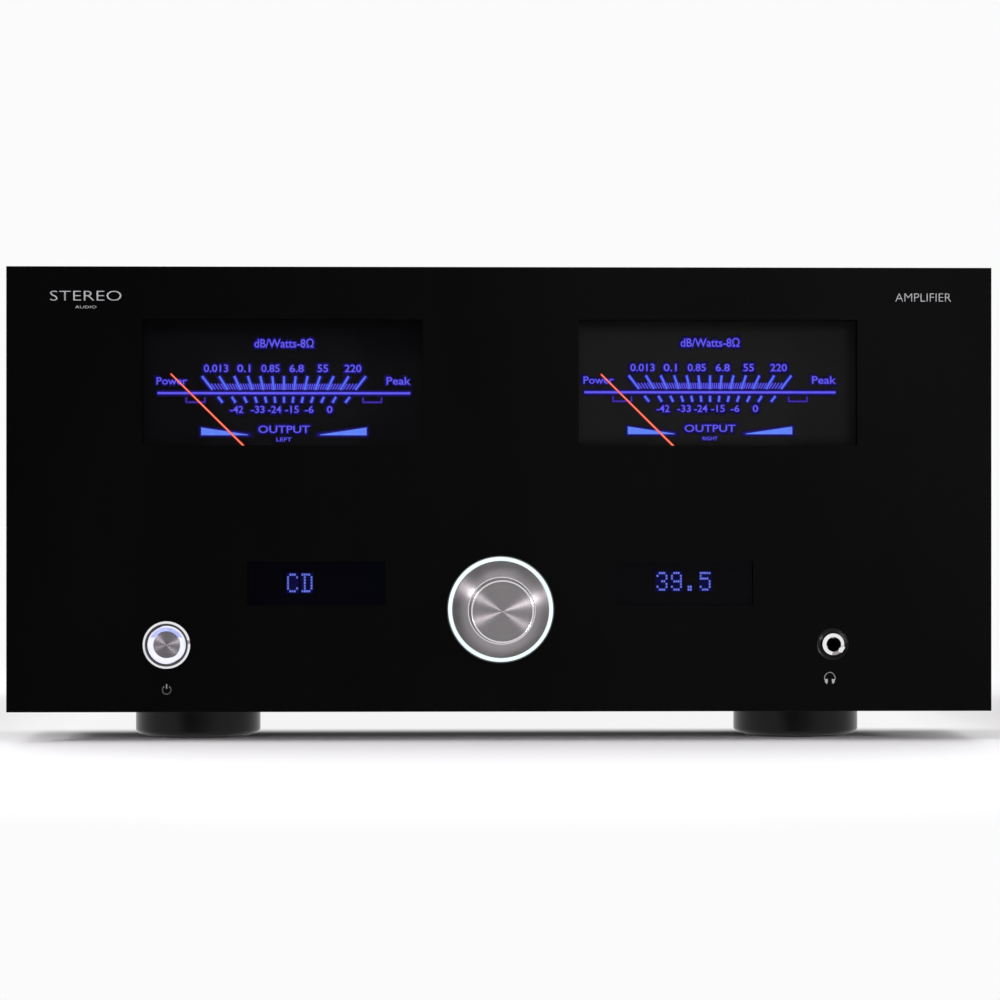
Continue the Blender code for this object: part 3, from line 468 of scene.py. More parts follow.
def filled(outline, holes):
    """A flat filled shape with holes, as a bmesh in the XY plane."""
    curve = bpy.data.curves.new("outline", "CURVE")
    curve.dimensions = "2D"
    curve.fill_mode = "FRONT"
    for loop in [outline, *holes]:
        spline = curve.splines.new("POLY")
        spline.points.add(len(loop) - 1)
        for point, (x, y) in zip(spline.points, loop):
            point.co = (x, y, 0, 1)
        spline.use_cyclic_u = True
    shape = curve_mesh(curve)
    bmesh.ops.remove_doubles(shape, verts=shape.verts, dist=1e-7)
    return shape


def stood_up(shape, front, back):
    """Stands a flat bmesh up in the XZ plane, and makes it solid from Y front to Y back."""
    for vert in shape.verts:
        vert.co = (vert.co.x, front, vert.co.y)
    extrude(shape, list(shape.faces), (0, back - front, 0), keep=True)
    return shape


def sheet(outline, holes, windows, front, back):
    """A flat sheet standing in the XZ plane. Each window is filled with the second material."""
    shape = filled(outline, [*holes, *windows])
    for loop in windows:
        corners = [min(shape.verts, key=lambda v: (v.co.x - x) ** 2 + (v.co.y - z) ** 2) for x, z in loop]
        shape.faces.new(corners).material_index = 1
    return stood_up(shape, front, back)


def loose(name, shape):
    """A plain object from a bmesh, which rides on nothing."""
    mesh = bpy.data.meshes.new(name)
    shape.to_mesh(mesh)
    shape.free()
    made = bpy.data.objects.new(name, mesh)
    bpy.context.scene.collection.objects.link(made)
    return made


def cut(made, shape, overlapping=False, smooth=30):
    """Cuts a bmesh out of an object's own mesh."""
    tool = loose("tool", shape)
    cutting = made.modifiers.new("cut", "BOOLEAN")
    cutting.object = tool
    cutting.use_self = overlapping
    bpy.context.view_layer.update()
    graph = bpy.context.evaluated_depsgraph_get()
    mesh = bpy.data.meshes.new_from_object(made.evaluated_get(graph))
    made.modifiers.clear()
    made.data = mesh
    mesh.shade_smooth()
    mesh.set_sharp_from_angle(angle=math.radians(smooth))
    bpy.data.objects.remove(tool)


# ---------------------------------------------------------------- screws, shared by every face
def screw_mesh(radius, height):
    """A domed screw head along -Y with a cross recess, its seat at y = 0."""
    profile = [(0, 0), (radius, 0), (radius, -height * 0.35), (radius * 0.86, -height * 0.75),
               (radius * 0.5, -height * 0.96), (0, -height)]
    shape = lathe(bmesh.new(), profile, 32)
    bmesh.ops.recalc_face_normals(shape, faces=shape.faces)
    head = loose("head", shape)
    cross = bmesh.new()
    arm, half_width, floor_y = radius * 0.62, radius * 0.13, -height * 0.35
    for wide, tall in ((arm, half_width), (half_width, arm)):
        add_box(cross, (-wide, -height * 1.2, -tall), (wide, floor_y, tall))
    cut(head, cross, overlapping=True, smooth=35)
    mesh = head.data
    bpy.data.objects.remove(head)
    return mesh


SCREW = screw_mesh(0.0028, 0.0014)


def screw(name, at, facing, material="steel", size=1.0):
    """A screw head at a point, its dome towards facing."""
    mesh = SCREW.copy()
    mesh.name = name
    mesh.materials.clear()
    mesh.materials.append(MATERIALS[material])
    made = bpy.data.objects.new(name, mesh)
    turn = Vector((0, -1, 0)).rotation_difference(Vector(facing)).to_matrix().to_4x4()
    spin = Matrix.Rotation(random.Random(name).uniform(0, math.pi), 4, "Y")
    made.matrix_world = Matrix.Translation(at) @ turn @ spin @ Matrix.Scale(size, 4)
    bpy.context.scene.collection.objects.link(made)
    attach(made, CASE)


# ---------------------------------------------------------------- front
def centre_line(node):
    """A CAD node's low and high corner, and the point on its axis along Y where y = 0."""
    low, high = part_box(node)
    return low, high, Vector(((low.x + high.x) / 2, 0, (low.z + high.z) / 2))


def front_panel():
    """Black glass with polished edges and clear windows in front of the meters and displays."""
    low, high = GLASS_LOW, GLASS_HIGH
    holes = []
    for node, radius, sides in (("knob_light_ring", 0.02335, 160), ("power_bezel", 0.0094, 96),
                                ("headphone_nut", 0.0072, 80)):
        hole = middle(node)
        holes.append(circle(hole.x, hole.z, radius, sides))
    windows = []
    for side in ("left", "right"):
        windows.append(rectangle(middle(f"{side}_meter_dial").x, METER_Z, *METER_WINDOW))
        screen = middle(f"{side}_display")
        windows.append(rectangle(screen.x, screen.z, *DISPLAY_WINDOW))
    shy = 0.00002          # keeps the rounded edges inside the CAD box
    outline = rectangle(0, (low.z + high.z) / 2, high.x - low.x - shy, high.z - low.z - shy)
    shape = sheet(outline, holes, windows, low.y, high.y)
    made = piece("front_glass_panel", shape, ["glass", "window"], stands_for=["front_glass"], smooth=0)
    soften(made, 0.00035, 3, 60)


def panel_marks():
    """The words at the panel's upper corners, and a symbol below the power button and the socket."""
    shape = bmesh.new()
    words = (("STEREO", -0.1805, 0.1812, 0.0043, 0.0310, -0.012),
             ("AUDIO", -0.1805, 0.1763, 0.0012, 0.0092, -0.004),
             ("AMPLIFIER", 0.1850, 0.1810, 0.0036, 0.0245, -0.012))
    for word, x, z, height, width, bold in words:
        add_text(shape, word, x, PANEL_BOTTOM + z, height, FACE_Y, width, bold)
    headphone_mark(shape, middle("headphone_nut").x - 0.0014, PANEL_BOTTOM + 0.0145, 0.0025)
    piece("panel_marks", shape, "ink", smooth=0)
    shape = bmesh.new()
    power_mark(shape, middle("power_bezel").x, PANEL_BOTTOM + 0.0097, 0.0018)
    piece("power_mark", shape, "faint_ink", smooth=0)


def power_mark(shape, x, z, radius):
    """The usual standby symbol: an open ring with a bar in its gap."""
    flat = (radius * 0.30, FACE_Y, FACE_Y - HAIR)
    add_stroke(shape, arc(x, z, radius, range(42, 319, 12)), *flat)
    add_stroke(shape, [(x, z + radius * 0.35), (x, z + radius * 1.30)], *flat)


def headphone_mark(shape, x, z, radius):
    """A headband over two ear pads."""
    band = [(x + (a - x) * 0.93, z + (b - z) * 1.03 - radius * 0.06)
            for a, b in arc(x, z, radius, range(-100, 101, 10))]
    add_stroke(shape, band, radius * 0.15, FACE_Y, FACE_Y - HAIR)
    cup = [(0.36, -0.18), (0.92, -0.20), (0.80, -0.74), (0.60, -1.03), (0.40, -0.86)]
    for side in (-1, 1):
        outline = [(x + side * a * radius, z + b * radius) for a, b in cup]
        add_slab(shape, outline[::side], FACE_Y, FACE_Y - HAIR)


def volume_knob():
    """The turned knob: a flared skirt running up to a straight boss with a slightly crowned, brushed
    face, and polished lines round the face and the foot of the boss."""
    low, high, at = centre_line("volume_knob")
    radius, face, back = (high.x - low.x) / 2, low.y, high.y
    boss_foot, rim, bore, bore_depth = 0.0142, 0.0135, 0.0034, 0.003
    waist = FACE_Y - 0.0176
    steps = 16
    flare = [(boss_foot, waist)]
    run = (radius - boss_foot) / steps
    for i in range(steps):
        slope = math.tan(math.radians(38 + 36 * (i + 0.5) / steps))
        flare.append((flare[-1][0] + run, flare[-1][1] + run * slope))
    profile = [(0, face), (0.0128, face + 0.00056), (0.0130, face + 0.0004), (0.0132, face + 0.0003),
               (0.01345, face + 0.00042), (rim, face + 0.0007), (0.0139, waist - 0.0006),
               (0.0141, waist - 0.0003), *flare, (radius, back - 0.0005), (radius - 0.0004, back),
               (bore, back), (bore, back - bore_depth), (0, back - bore_depth)]
    shape = lathe(bmesh.new(), profile, 160)
    paint(shape, 1, lambda p: 0.0128 < from_axis(p) < rim + 0.00002 and p.y < face + 0.0008)
    paint(shape, 1, lambda p: 0.0140 < from_axis(p) < 0.0145 and p.y > face + 0.001)
    piece("volume_knob_body", shape, ["knob", "knob_edge"], "volume_knob", at, ["volume_knob"], 25)


def knob_light():
    """The lit ring that shows round the knob's skirt, with rounded edges."""
    low, high, at = centre_line("knob_light_ring")
    outer, inner, front = (high.x - low.x) / 2 - 0.0002, 0.0212, low.y
    profile = [(inner, high.y), (inner, front + 0.0005), (inner + 0.0002, front + 0.00012),
               (inner + 0.0006, front), (outer - 0.0006, front), (outer - 0.0002, front + 0.00012),
               (outer, front + 0.0005), (outer, high.y)]
    turned("knob_glow_ring", profile, "ring", at, steps=160, ring=True, stands_for=["knob_light_ring"])


def power_button():
    """Polished bezel with painted shade in its inner groove, domed light ring and the brushed push face."""
    low, high, at = centre_line("power_bezel")
    outer, front, seat = (high.x - low.x) / 2, low.y, FACE_Y - 0.0003
    profile = [(outer, seat), (outer, front + 0.0009), (outer - 0.00095, front),
               (outer - 0.0010, front + 0.0001), (0.0089, front + 0.0012), (0.0088, front + 0.0018),
               (0.0083, front + 0.0019), (0.0083, high.y), (0.0090, high.y), (0.0090, seat)]
    shape = lathe(bmesh.new(), profile, 120, ring=True)
    # The bezel's inner groove is painted dark as shade.
    paint(shape, 1, lambda p: from_axis(p) < outer - 0.00096 and p.y < front + 0.003)
    piece("power_bezel_polished", shape, ["chrome", "groove"], at=at, stands_for=["power_bezel"], smooth=30)

    low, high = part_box("power_light_ring")
    front = low.y
    profile = [(0.0060, high.y), (0.0060, front + 0.0002), (0.0063, front), (0.0068, front + 0.0001),
               (0.0076, front + 0.0004), (0.0080, front + 0.0010), (0.0081, front + 0.0018),
               (0.0081, high.y)]
    shape = lathe(bmesh.new(), profile, 96, ring=True)
    paint(shape, 1, lambda p: p.z > 0.0033 and from_axis(p) < 0.0073)
    piece("power_glow_ring", shape, ["button_ring", "button_shade"], at=at, stands_for=["power_light_ring"])

    low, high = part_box("power_button")
    front, shoulder = low.y, FACE_Y + 0.007
    profile = [(0, front), (0.0053, front + 0.0004), (0.0056, front + 0.0006), (0.0057, front + 0.0009),
               (0.0057, shoulder), (0.0025, shoulder), (0.0025, high.y), (0, high.y)]
    turned("power_button_face", profile, "button", at, "power_button", stands_for=["power_button"])


def headphone_socket():
    """The bright collar round the jack's mouth in its dark dish, and the springs inside the bore."""
    low, _, at = centre_line("headphone_jack")
    front = low.y
    profile = [(0.00312, front + 0.0045), (0.00312, front - 0.0011), (0.0032, front - 0.0012),
               (0.00475, front + 0.0002), (0.0048, front + 0.0006), (0.0048, front + 0.0045)]
    shape = lathe(bmesh.new(), profile, 96, ring=True)
    paint(shape, 1, lambda p: -96 < math.degrees(math.atan2(p.z, p.x)) < -52)
    piece("headphone_collar", shape, ["chrome", "shaded_chrome"], at=at, smooth=30)
    dish = ((0.0049, 0.0016), (0.0052, 0.0010), (0.0064, 0.0004), (0.0070, 0.0002), (0.0071, 0.0008),
            (0.0071, 0.0040), (0.0049, 0.0040))
    turned("headphone_dish", [(r, FACE_Y + d) for r, d in dish], "dark", at, ring=True)
    tab = add_slab(bmesh.new(), [(0.0026, -0.0004), (0.0050, -0.0014), (0.0052, 0.0012), (0.0044, 0.0016)],
                   front + 0.0012, front + 0.0018)
    for vert in tab.verts:
        vert.co.y -= (0.0052 - vert.co.x) * 0.9 + 0.0012
    tab.transform(Matrix.Rotation(math.radians(30), 4, "Y"))
    piece("headphone_earth_tab", tab, "chrome", at=at, smooth=0)
    shape = bmesh.new()
    for angle in (90, 200):
        spring = bmesh.new()
        half_width, mouth = 0.0005, front + 0.0012
        add_box(spring, (0.0024, mouth, -half_width), (0.0031, mouth + 0.0004, half_width))
        add_box(spring, (0.0024, mouth, -half_width), (0.0026, mouth + 0.0188, half_width))
        spring.transform(Matrix.Rotation(math.radians(-angle), 4, "Y"))
        join(shape, spring)
    piece("headphone_contacts", shape, "nickel", at=at, smooth=0)


# ---------------------------------------------------------------- meters and displays
SCALE_STEP = math.radians(6.3)
PIVOT_DROP = 0.0428          # from the middle of the window down to the point where all ticks meet
PRINT_SHIFT = {"left": (-0.00035, -0.00035), "right": (-0.00125, 0.0002)}   # how the dials are seated
# Each layer of print: how far it grows past the print, how far it stands off the dial, and its weight. The
# halo and haze layers are painted glow spreading round the lit print.
PRINT_LAYERS = {"haze": (0.0023, 0.00001, 0.10), "halo": (0.0011, 0.00008, 0.065),
                "print": (0.0, 0.00015, 0.010)}
# Each number of the scale with its width, and how far it stands off its own tick.
WATTS = (("0.013", 0.0107, 0.0007), ("0.1", 0.0057, -0.0006), ("0.85", 0.0080, -0.0004),
         ("6.8", 0.0062, 0.0001), ("55", 0.0046, 0), ("220", 0.0073, -0.0002))
DECIBELS = (("-42", 0.0056, -0.0013), ("-33", 0.0059, -0.0006), ("-24", 0.0058, -0.0006),
            ("-15", 0.0059, 0), ("-6", 0.0037, 0.0002), ("0", 0.0024, 0.0006))


def dial(name):
    """A meter's dial: the soft-lit ground, and its scale with halo and haze layers of painted glow round the
    print that soften its edges.
    """
    low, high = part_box(f"{name}_meter_dial")
    x = (low.x + high.x) / 2
    at = Vector((x, 0, METER_Z))
    beyond = Vector((0.0012, 0, 0))
    shape = add_box(bmesh.new(), low - at - beyond, high - at + beyond)
    ground = piece(f"{name}_dial_ground", shape, f"dial_{name}", at=at,
                   stands_for=[f"{name}_meter_dial"], smooth=0)
    soften(ground, 0.0002)
    shift_x, shift_z = PRINT_SHIFT[name]
    pivot = Vector((x + shift_x, 0, METER_Z - PIVOT_DROP + shift_z))
    for layer, (grow, off, bold) in PRINT_LAYERS.items():
        shape = bmesh.new()
        front = low.y - off
        dial_scale(shape, pivot, grow, (front, front - HAIR))
        dial_words(shape, pivot, grow, front, bold, name.upper())
        keys = ["blue", "wedge", "tick", "bracket"] if layer == "print" else [layer] * 4
        piece(f"{name}_dial_{layer}", shape, keys, smooth=0)


def ray(pivot, step, height):
    """The point at a height on the line from the pivot through a step of the scale."""
    return pivot.x + height * math.tan(step * SCALE_STEP), pivot.z + height


def dial_scale(shape, pivot, grow, flat):
    """The ticks, which all point at the pivot, the long line, two brackets and two wedges."""
    last = 6
    for major in range(-last, last + 1):
        for ends in ((0.0409, 0.0465), (0.0374, 0.0352)):
            add_stroke(shape, [ray(pivot, major, end) for end in ends], 0.00095 + grow, *flat, 2)
        for minor in range(1, 5 if major < last else 1):
            tick = [ray(pivot, major + minor / 5, end) for end in (0.0409, 0.0433)]
            add_stroke(shape, tick, 0.00044 + grow / 3, *flat)
    x, z = pivot.x, pivot.z
    add_stroke(shape, [(x - 0.0557, z + 0.0392), (x + 0.0557, z + 0.0392)], 0.00092 + grow, *flat)
    for side in (-1, 1):
        near, far, top, base = x + side * 0.0350, x + side * 0.0432, z + 0.0372, z + 0.0352
        add_stroke(shape, [(near, top), (near, base), (far, base), (far, top)], 0.00046 + grow / 2,
                   *flat, 3)
        tip, end = x + side * (0.0160 - grow), x + side * (0.0366 + grow / 2)
        bottom, upper = z + 0.0206 - grow / 2, z + 0.0240 + grow / 2
        wedge = [(tip, bottom), (end, bottom), (end, upper), (tip, bottom + 0.0003 + grow)]
        add_slab(shape, wedge[::side], *flat, material=1)


def dial_words(shape, pivot, grow, y, bold, channel):
    """The numbers above and below the scale, and the words round it."""
    for numbers, height, tall in ((WATTS, 0.0502, 0.0033), (DECIBELS, 0.0320, 0.0031)):
        for i, (word, width, nudge) in enumerate(numbers):
            x, z = ray(pivot, 2 * i - 5, height)
            add_text(shape, word, x + nudge, z, tall + grow, y, width + grow, bold)
    words = (("dB/Watts-8Ω", 0, 0.0614, 0.0040, 0.0262, bold),
             ("Power", -0.0496, 0.0446, 0.0032, 0.0134, bold),
             ("Peak", 0.0508, 0.0447, 0.0034, 0.0107, bold),
             ("OUTPUT", 0, 0.0232, 0.0032, 0.0226, bold - 0.004))
    for word, x, z, tall, width, weight in words:
        add_text(shape, word, pivot.x + x, pivot.z + z, tall + grow, y, width + grow, weight)
    add_text(shape, channel, pivot.x, pivot.z + 0.0187, 0.0016 + grow / 2, y, 0.0066 + grow / 2, bold / 2)


def needle(name):
    """The pointer: a tapered red blade lit with painted light, with a painted highlight along its ridge, its
    hub and its tail weight.
    """
    rest = middle(f"{name}_meter_movement")
    at = Vector((rest.x, middle(f"{name}_meter_needle").y, rest.z))
    reach, half, thick = 0.0706, 0.00028, 0.0010
    shape = bmesh.new()
    add_slab(shape, tapered(0.0032, 0.00055, reach, 0.00040), half, -half)
    # A painted highlight along the blade's ridge.
    add_slab(shape, tapered(0.012, 0.00022, reach - 0.0004, 0.00018), -half, -half - 0.00004, 1)
    add_slab(shape, tapered(-0.0098, 0.0024, -0.0066, 0.0018), thick, -thick, 2)
    add_slab(shape, tapered(-0.0068, 0.0006, -0.0030, 0.0006), half, -half)
    lathe(shape, [(0.0014, -thick), (0.0032, -thick), (0.0035, -0.0007), (0.0035, 0.0007),
                  (0.0032, thick), (0.0014, thick)], 40, ring=True, material=2)
    shape.transform(Matrix.Rotation(math.radians(-45.3), 4, "Y"))
    piece(f"{name}_pointer", shape, ["needle", "ridge_highlight", "plastic"], f"{name}_needle", at,
          [f"{name}_meter_needle"], 40)


def tapered(start, half_start, end, half_end):
    """A bar's outline along Z, with its half width at each end."""
    return [(-half_start, start), (half_start, start), (half_end, end), (-half_end, end)]


DOTS = {
    "C": ("01110", "10001", "10000", "10000", "10000", "10001", "01110"),
    "D": ("11110", "01001", "01001", "01001", "01001", "01001", "11110"),
    "3": ("01110", "10001", "00001", "00110", "00001", "10001", "01110"),
    "9": ("01110", "10001", "10001", "01111", "00001", "10001", "01110"),
    "5": ("11111", "10000", "11110", "00001", "00001", "10001", "01110"),
    ".": ("00000", "00000", "00000", "00000", "00000", "01100", "01100"),
}


def display(name, words, first_x, rise=0.0):
    """A dot-matrix display: the dark filter, its unlit cells and the lit dots of its message."""
    low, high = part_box(f"{name}_display")
    at = (low + high) / 2
    shape = add_box(bmesh.new(), low - at, high - at)
    body = piece(f"{name}_display_body", shape, f"screen_{name}", at=at,
                 stands_for=[f"{name}_display"], smooth=0)
    soften(body, 0.0003)
    column, row, letter_step, lit_share, margin = 0.00099, 0.00121, 0.00634, 0.74, 1.7
    dots, cells = bmesh.new(), bmesh.new()
    for i, letter in enumerate(words):
        spots = [(first_x + i * letter_step + k * column, at.z + rise + (3 - j) * row)
                 for j, line in enumerate(DOTS[letter]) for k, dot in enumerate(line) if dot == "1"]
        for x, z in spots:
            dot = rectangle(x, z, column * lit_share, row * lit_share)
            add_slab(dots, dot, low.y - 0.00008, low.y - 0.00013)
        (left, right), (bottom, top) = [(min(v), max(v)) for v in zip(*spots)]
        cell = rectangle((left + right) / 2, (bottom + top) / 2, right - left + column * margin,
                         top - bottom + row * margin)
        add_slab(cells, cell, low.y - 0.00001, low.y - 0.00006)
    piece(f"{name}_display_dots", dots, "dot", smooth=0)
    piece(f"{name}_display_cells", cells, "cell", smooth=0)


# ---------------------------------------------------------------- case
def folded_cover():
    """The folded cover, with rounded bends and round-ended vents."""
    low, high = COVER_LOW, COVER_HIGH
    thick, bend, half, top = 0.0012, 0.0022, high.x, high.z

    def section(inset, radius):
        """One surface's outline, from the lower edge of one side over the top to the other."""
        corner = arc(half - inset - radius, top - inset - radius, radius, [90 - i * 11.25 for i in range(9)])
        right = [(half - inset, low.z), *corner]
        return right + [(-x, z) for x, z in reversed(right)]

    outline = section(0, bend) + section(thick, bend - thick)[::-1]
    shape = add_slab(bmesh.new(), outline, low.y, high.y)
    cover = piece("cover_folded", shape, "cover", stands_for=["top_cover"], smooth=30)
    cut(cover, vents(half, top))
    soften(cover, 0.00025, 2, 50)


def vents(half, top):
    """Cutters for the slots in the top and in the two sides."""
    cutters = bmesh.new()
    depth, slot_width = 0.012, 0.0036
    groups = ((-0.176, 0.052, 16, 0), (0.176, 0.052, 16, 0), (0, 0.100, 8, 0.080))
    for x, slot_length, count, middle_y in groups:
        for i in range(count):
            y = middle_y + (i - (count - 1) / 2) * 0.012
            outline = round_ended(x, y, slot_length, slot_width)
            corners = [cutters.verts.new((a, b, top - depth / 2)) for a, b in outline]
            extrude(cutters, [cutters.faces.new(corners)], (0, 0, depth))
    depth, count = 0.010, 12
    for side in (-1, 1):
        for i in range(count):
            outline = round_ended(0.0575, (i - (count - 1) / 2) * 0.014, 0.035, slot_width)
            corners = [cutters.verts.new((side * half - depth / 2, b, a)) for a, b in outline]
            extrude(cutters, [cutters.faces.new(corners)], (depth, 0, 0))
    bmesh.ops.recalc_face_normals(cutters, faces=cutters.faces)
    return cutters


def case_screws():
    """The screws that hold the cover, the rear panel and the tray."""
    sunk = 0.0001
    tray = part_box("bottom_chassis")[0].z + sunk
    for side, word in ((-1, "left"), (1, "right")):
        x, rear = side * (COVER_HIGH.x - sunk), REAR_Y - sunk
        rows = (("cover", (side, 0, 0), [(x, y, z) for y, z in ((-0.150, 0.026), (0.0, 0.026), (0.170, 0.026),
                                                               (0.170, 0.185))]),
                ("rear", (0, 1, 0), [(side * 0.205, rear, z) for z in (0.022, 0.110, 0.196)]),
                ("tray", (0, 0, -1), [(side * 0.192, y, tray) for y in (-0.160, 0.0, 0.170)]))
        for place, facing, spots in rows:
            for i, spot in enumerate(spots):
                screw(f"{place}_screw_{word}_{i}", spot, facing)
    for i, x in enumerate((-0.110, -0.025, 0.060)):
        screw(f"rear_top_screw_{i}", (x, REAR_Y - sunk, 0.1985), (0, 1, 0), size=0.8)


def feet():
    """Turned feet with a chamfered lower edge, each on a ribbed rubber pad."""
    places = [f"{y}_{x}" for y in ("front", "rear") for x in ("left", "right")]
    for place in places:
        foot, pad = f"foot_{place}", f"foot_pad_{place}"
        low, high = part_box(foot)
        at = Vector(((low.x + high.x) / 2, (low.y + high.y) / 2, 0))
        r, recess = (high.x - low.x) / 2, 0.0030
        profile = [(0, high.z), (r - 0.0009, high.z), (r - 0.0003, high.z - 0.0003), (r, high.z - 0.0009),
                   (r, 0.0029), (r - 0.00015, 0.0024), (r - 0.0013, 0.0011), (r - 0.0018, low.z),
                   (0.0241, low.z), (0.0241, recess), (0, recess)]
        turned(f"{foot}_turned", profile, "foot", at, axis="Z", stands_for=[foot], smooth=25)
        low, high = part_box(pad)
        r, rings, deep = (high.x - low.x) / 2, 12, 0.0004
        ribs = []
        for i in range(1, rings):
            outer, inner = (deep, 0) if i % 2 else (0, deep)
            at_ring = r * (rings - i) / rings
            ribs += [(at_ring + deep, outer), (at_ring, inner)]
        profile = [(0, high.z), (r, high.z), (r, 0.0005), (r - deep, 0), *ribs, (0, 0)]
        turned(f"{pad}_ribbed", profile, "rubber", at, axis="Z", stands_for=[pad], smooth=25)


# ---------------------------------------------------------------- rear connectors
def phono_barrel(name, x, z, colour):
    """One phono socket: flange, hollow barrel, coloured insulator and centre contact."""
    out = 0.0095
    shape = lathe(bmesh.new(), [(0.0034, 0.0006), (0.0034, out), (0.0039, out), (0.0041, out - 0.0003),
                                (0.0041, 0.0012), (0.0054, 0.0010), (0.0056, 0.0006), (0.0056, 0.0001),
                                (0.0034, 0.0001)], 48, ring=True)
    lathe(shape, [(0.0009, 0.0002), (0.0009, out - 0.0016), (0.0012, out - 0.0012),
                  (0.0033, out - 0.0012), (0.0033, 0.0002)], 40, ring=True, material=1)
    lathe(shape, [(0.0005, 0.0002), (0.0005, out - 0.0020), (0.0008, out - 0.0018), (0.0008, 0.0002)],
          24, ring=True)
    piece(name, shape, ["gold", colour], at=(x, REAR_Y, z))


SOCKET_ROWS = (0.166, 0.184)
PHONO_FIRST, PHONO_STEP, PHONO_COUNT = -0.043, 0.018, 8
USB_X, TRIGGER_X, COAXIAL_X = -0.095, -0.073, -0.120
SPEAKER_HALF_GAP = 0.012          # from the middle of a terminal block to each of its posts


def socket_block(node):
    """The moulded block that a group of rear sockets stands in."""
    low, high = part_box(node)
    at = (low + high) / 2
    back = Vector((high.x, REAR_Y - 0.0018, high.z))
    shape = add_box(bmesh.new(), low - at, back - at)
    soften(piece(f"{node}_block", shape, "plastic", at=at, stands_for=[node], smooth=0), 0.0006)


def sockets():
    """The phono, coaxial, trigger and USB sockets, and the two blocks that carry them."""
    socket_block("phono_sockets")
    for i in range(PHONO_COUNT):
        for z, colour in zip(SOCKET_ROWS, ("red", "white")):
            phono_barrel(f"phono_{i + 1}_{colour}", PHONO_FIRST + i * PHONO_STEP, z, colour)
    socket_block("digital_sockets")
    trigger = [(0.0018, 0.0002), (0.0018, 0.0020), (0.0030, 0.0020), (0.0036, 0.0016),
               (0.0038, 0.0010), (0.0038, 0.0002)]
    for i, z in enumerate(SOCKET_ROWS):
        phono_barrel(f"coaxial_{i + 1}", COAXIAL_X, z, "plastic")
        turned(f"trigger_{i + 1}", trigger, "plastic", (TRIGGER_X, REAR_Y, z), steps=40, ring=True)
    usb_socket(USB_X, sum(SOCKET_ROWS) / 2)


def xlr_fittings():
    """The latch and the two screws of each XLR socket."""
    for name in ("xlr_socket_left", "xlr_socket_right"):
        centre, face = middle(name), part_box(name)[1].y
        latch = add_box(bmesh.new(), (-0.003, -0.0004, 0.0100), (0.003, 0.0006, 0.0130))
        soften(piece(f"{name}_latch", latch, "nickel", at=(centre.x, face, centre.z)), 0.0003)
        for i, side in enumerate((-1, 1)):
            spot = (centre.x + side * 0.0098, face - 0.0001, centre.z - side * 0.0122)
            screw(f"{name}_screw_{i}", spot, (0, 1, 0), "nickel", 0.7)


def usb_socket(x, z):
    """A USB type B socket: square shell with two clipped corners, and its tongue."""
    half, clip, wall = 0.0045, 0.0014, 0.0004
    outer = [(-half, -half), (half, -half), (half, half - clip), (half - clip, half), (clip - half, half),
             (-half, half - clip)]
    inner = [(a * (1 - wall / half), b * (1 - wall / half)) for a, b in outer]
    shape = stood_up(filled(outer, [inner]), 0.0001, 0.0011)
    add_box(shape, (-0.0026, -0.006, -0.0014), (0.0026, 0.0004, 0.0010), 1)
    add_box(shape, (-half, -0.0065, -half), (half, -0.006, half), 1)
    piece("usb_socket", shape, ["nickel", "plastic"], at=(x, REAR_Y, z), smooth=0)


def speaker_terminals():
    """Moulded plates, each with two gilt posts and two caps."""
    for channel in ("left", "right"):
        node = f"{channel}_speaker_terminal"
        low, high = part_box(node)
        x, z = (low.x + high.x) / 2, (low.z + high.z) / 2
        shape = add_box(bmesh.new(), (low.x - x, 0.0003, low.z - z), (high.x - x, 0.0030, high.z - z))
        add_box(shape, (-0.0235, -0.0075, -0.0105), (0.0235, 0.0004, 0.0105))
        plate = piece(f"{node}_plate", shape, "plastic", at=(x, REAR_Y, z), stands_for=[node], smooth=0)
        soften(plate, 0.0005)
        speaker_cap(f"{channel}_negative", Vector((x - SPEAKER_HALF_GAP, REAR_Y, z)), "plastic")
        speaker_cap(f"{channel}_positive", Vector((x + SPEAKER_HALF_GAP, REAR_Y, z)), "red")


def speaker_cap(name, spot, colour):
    """A gilt post with a collar, and its cap: gilt ends, a coloured band and a knurl of fine ridges."""
    low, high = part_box(f"{name}_cap")
    start, end = low.y - REAR_Y, high.y - REAR_Y
    radius, bore = (high.x - low.x) / 2, 0.0028
    profile = [(0, 0.0029), (0.0070, 0.0029), (0.0070, start - 0.0006), (0.0067, start - 0.0003),
               (0.0025, start - 0.0003), (0.0025, end - 0.0045), (0, end - 0.0045)]
    turned(f"{name}_post", profile, "gold", spot, steps=48)
    profile = [(bore, start), (0.0066, start), (0.0070, start + 0.0005), (0.0070, start + 0.0028),
               (0.0066, start + 0.0031), (0.0066, start + 0.0040), (0.0072, start + 0.0044),
               (0.0072, end - 0.0062), (0.0066, end - 0.0050), (0.0063, end - 0.0009),
               (0.0058, end - 0.0002), (0.0050, end), (bore, end)]
    shape = lathe(bmesh.new(), profile, 72, ring=True)
    paint(shape, 1, lambda p: p.y < start + 0.0042 or p.y > end - 0.0045)
    ridges, half = 24, 0.00032
    for i in range(ridges):
        ridge = add_box(bmesh.new(), (0.0068, start + 0.0050, -half), (radius, end - 0.0068, half))
        ridge.transform(Matrix.Rotation(2 * math.pi * i / ridges, 4, "Y"))
        join(shape, ridge)
    piece(f"{name}_cap_knurled", shape, [colour, "gold"], f"{name}_cap", spot, [f"{name}_cap"], 30)


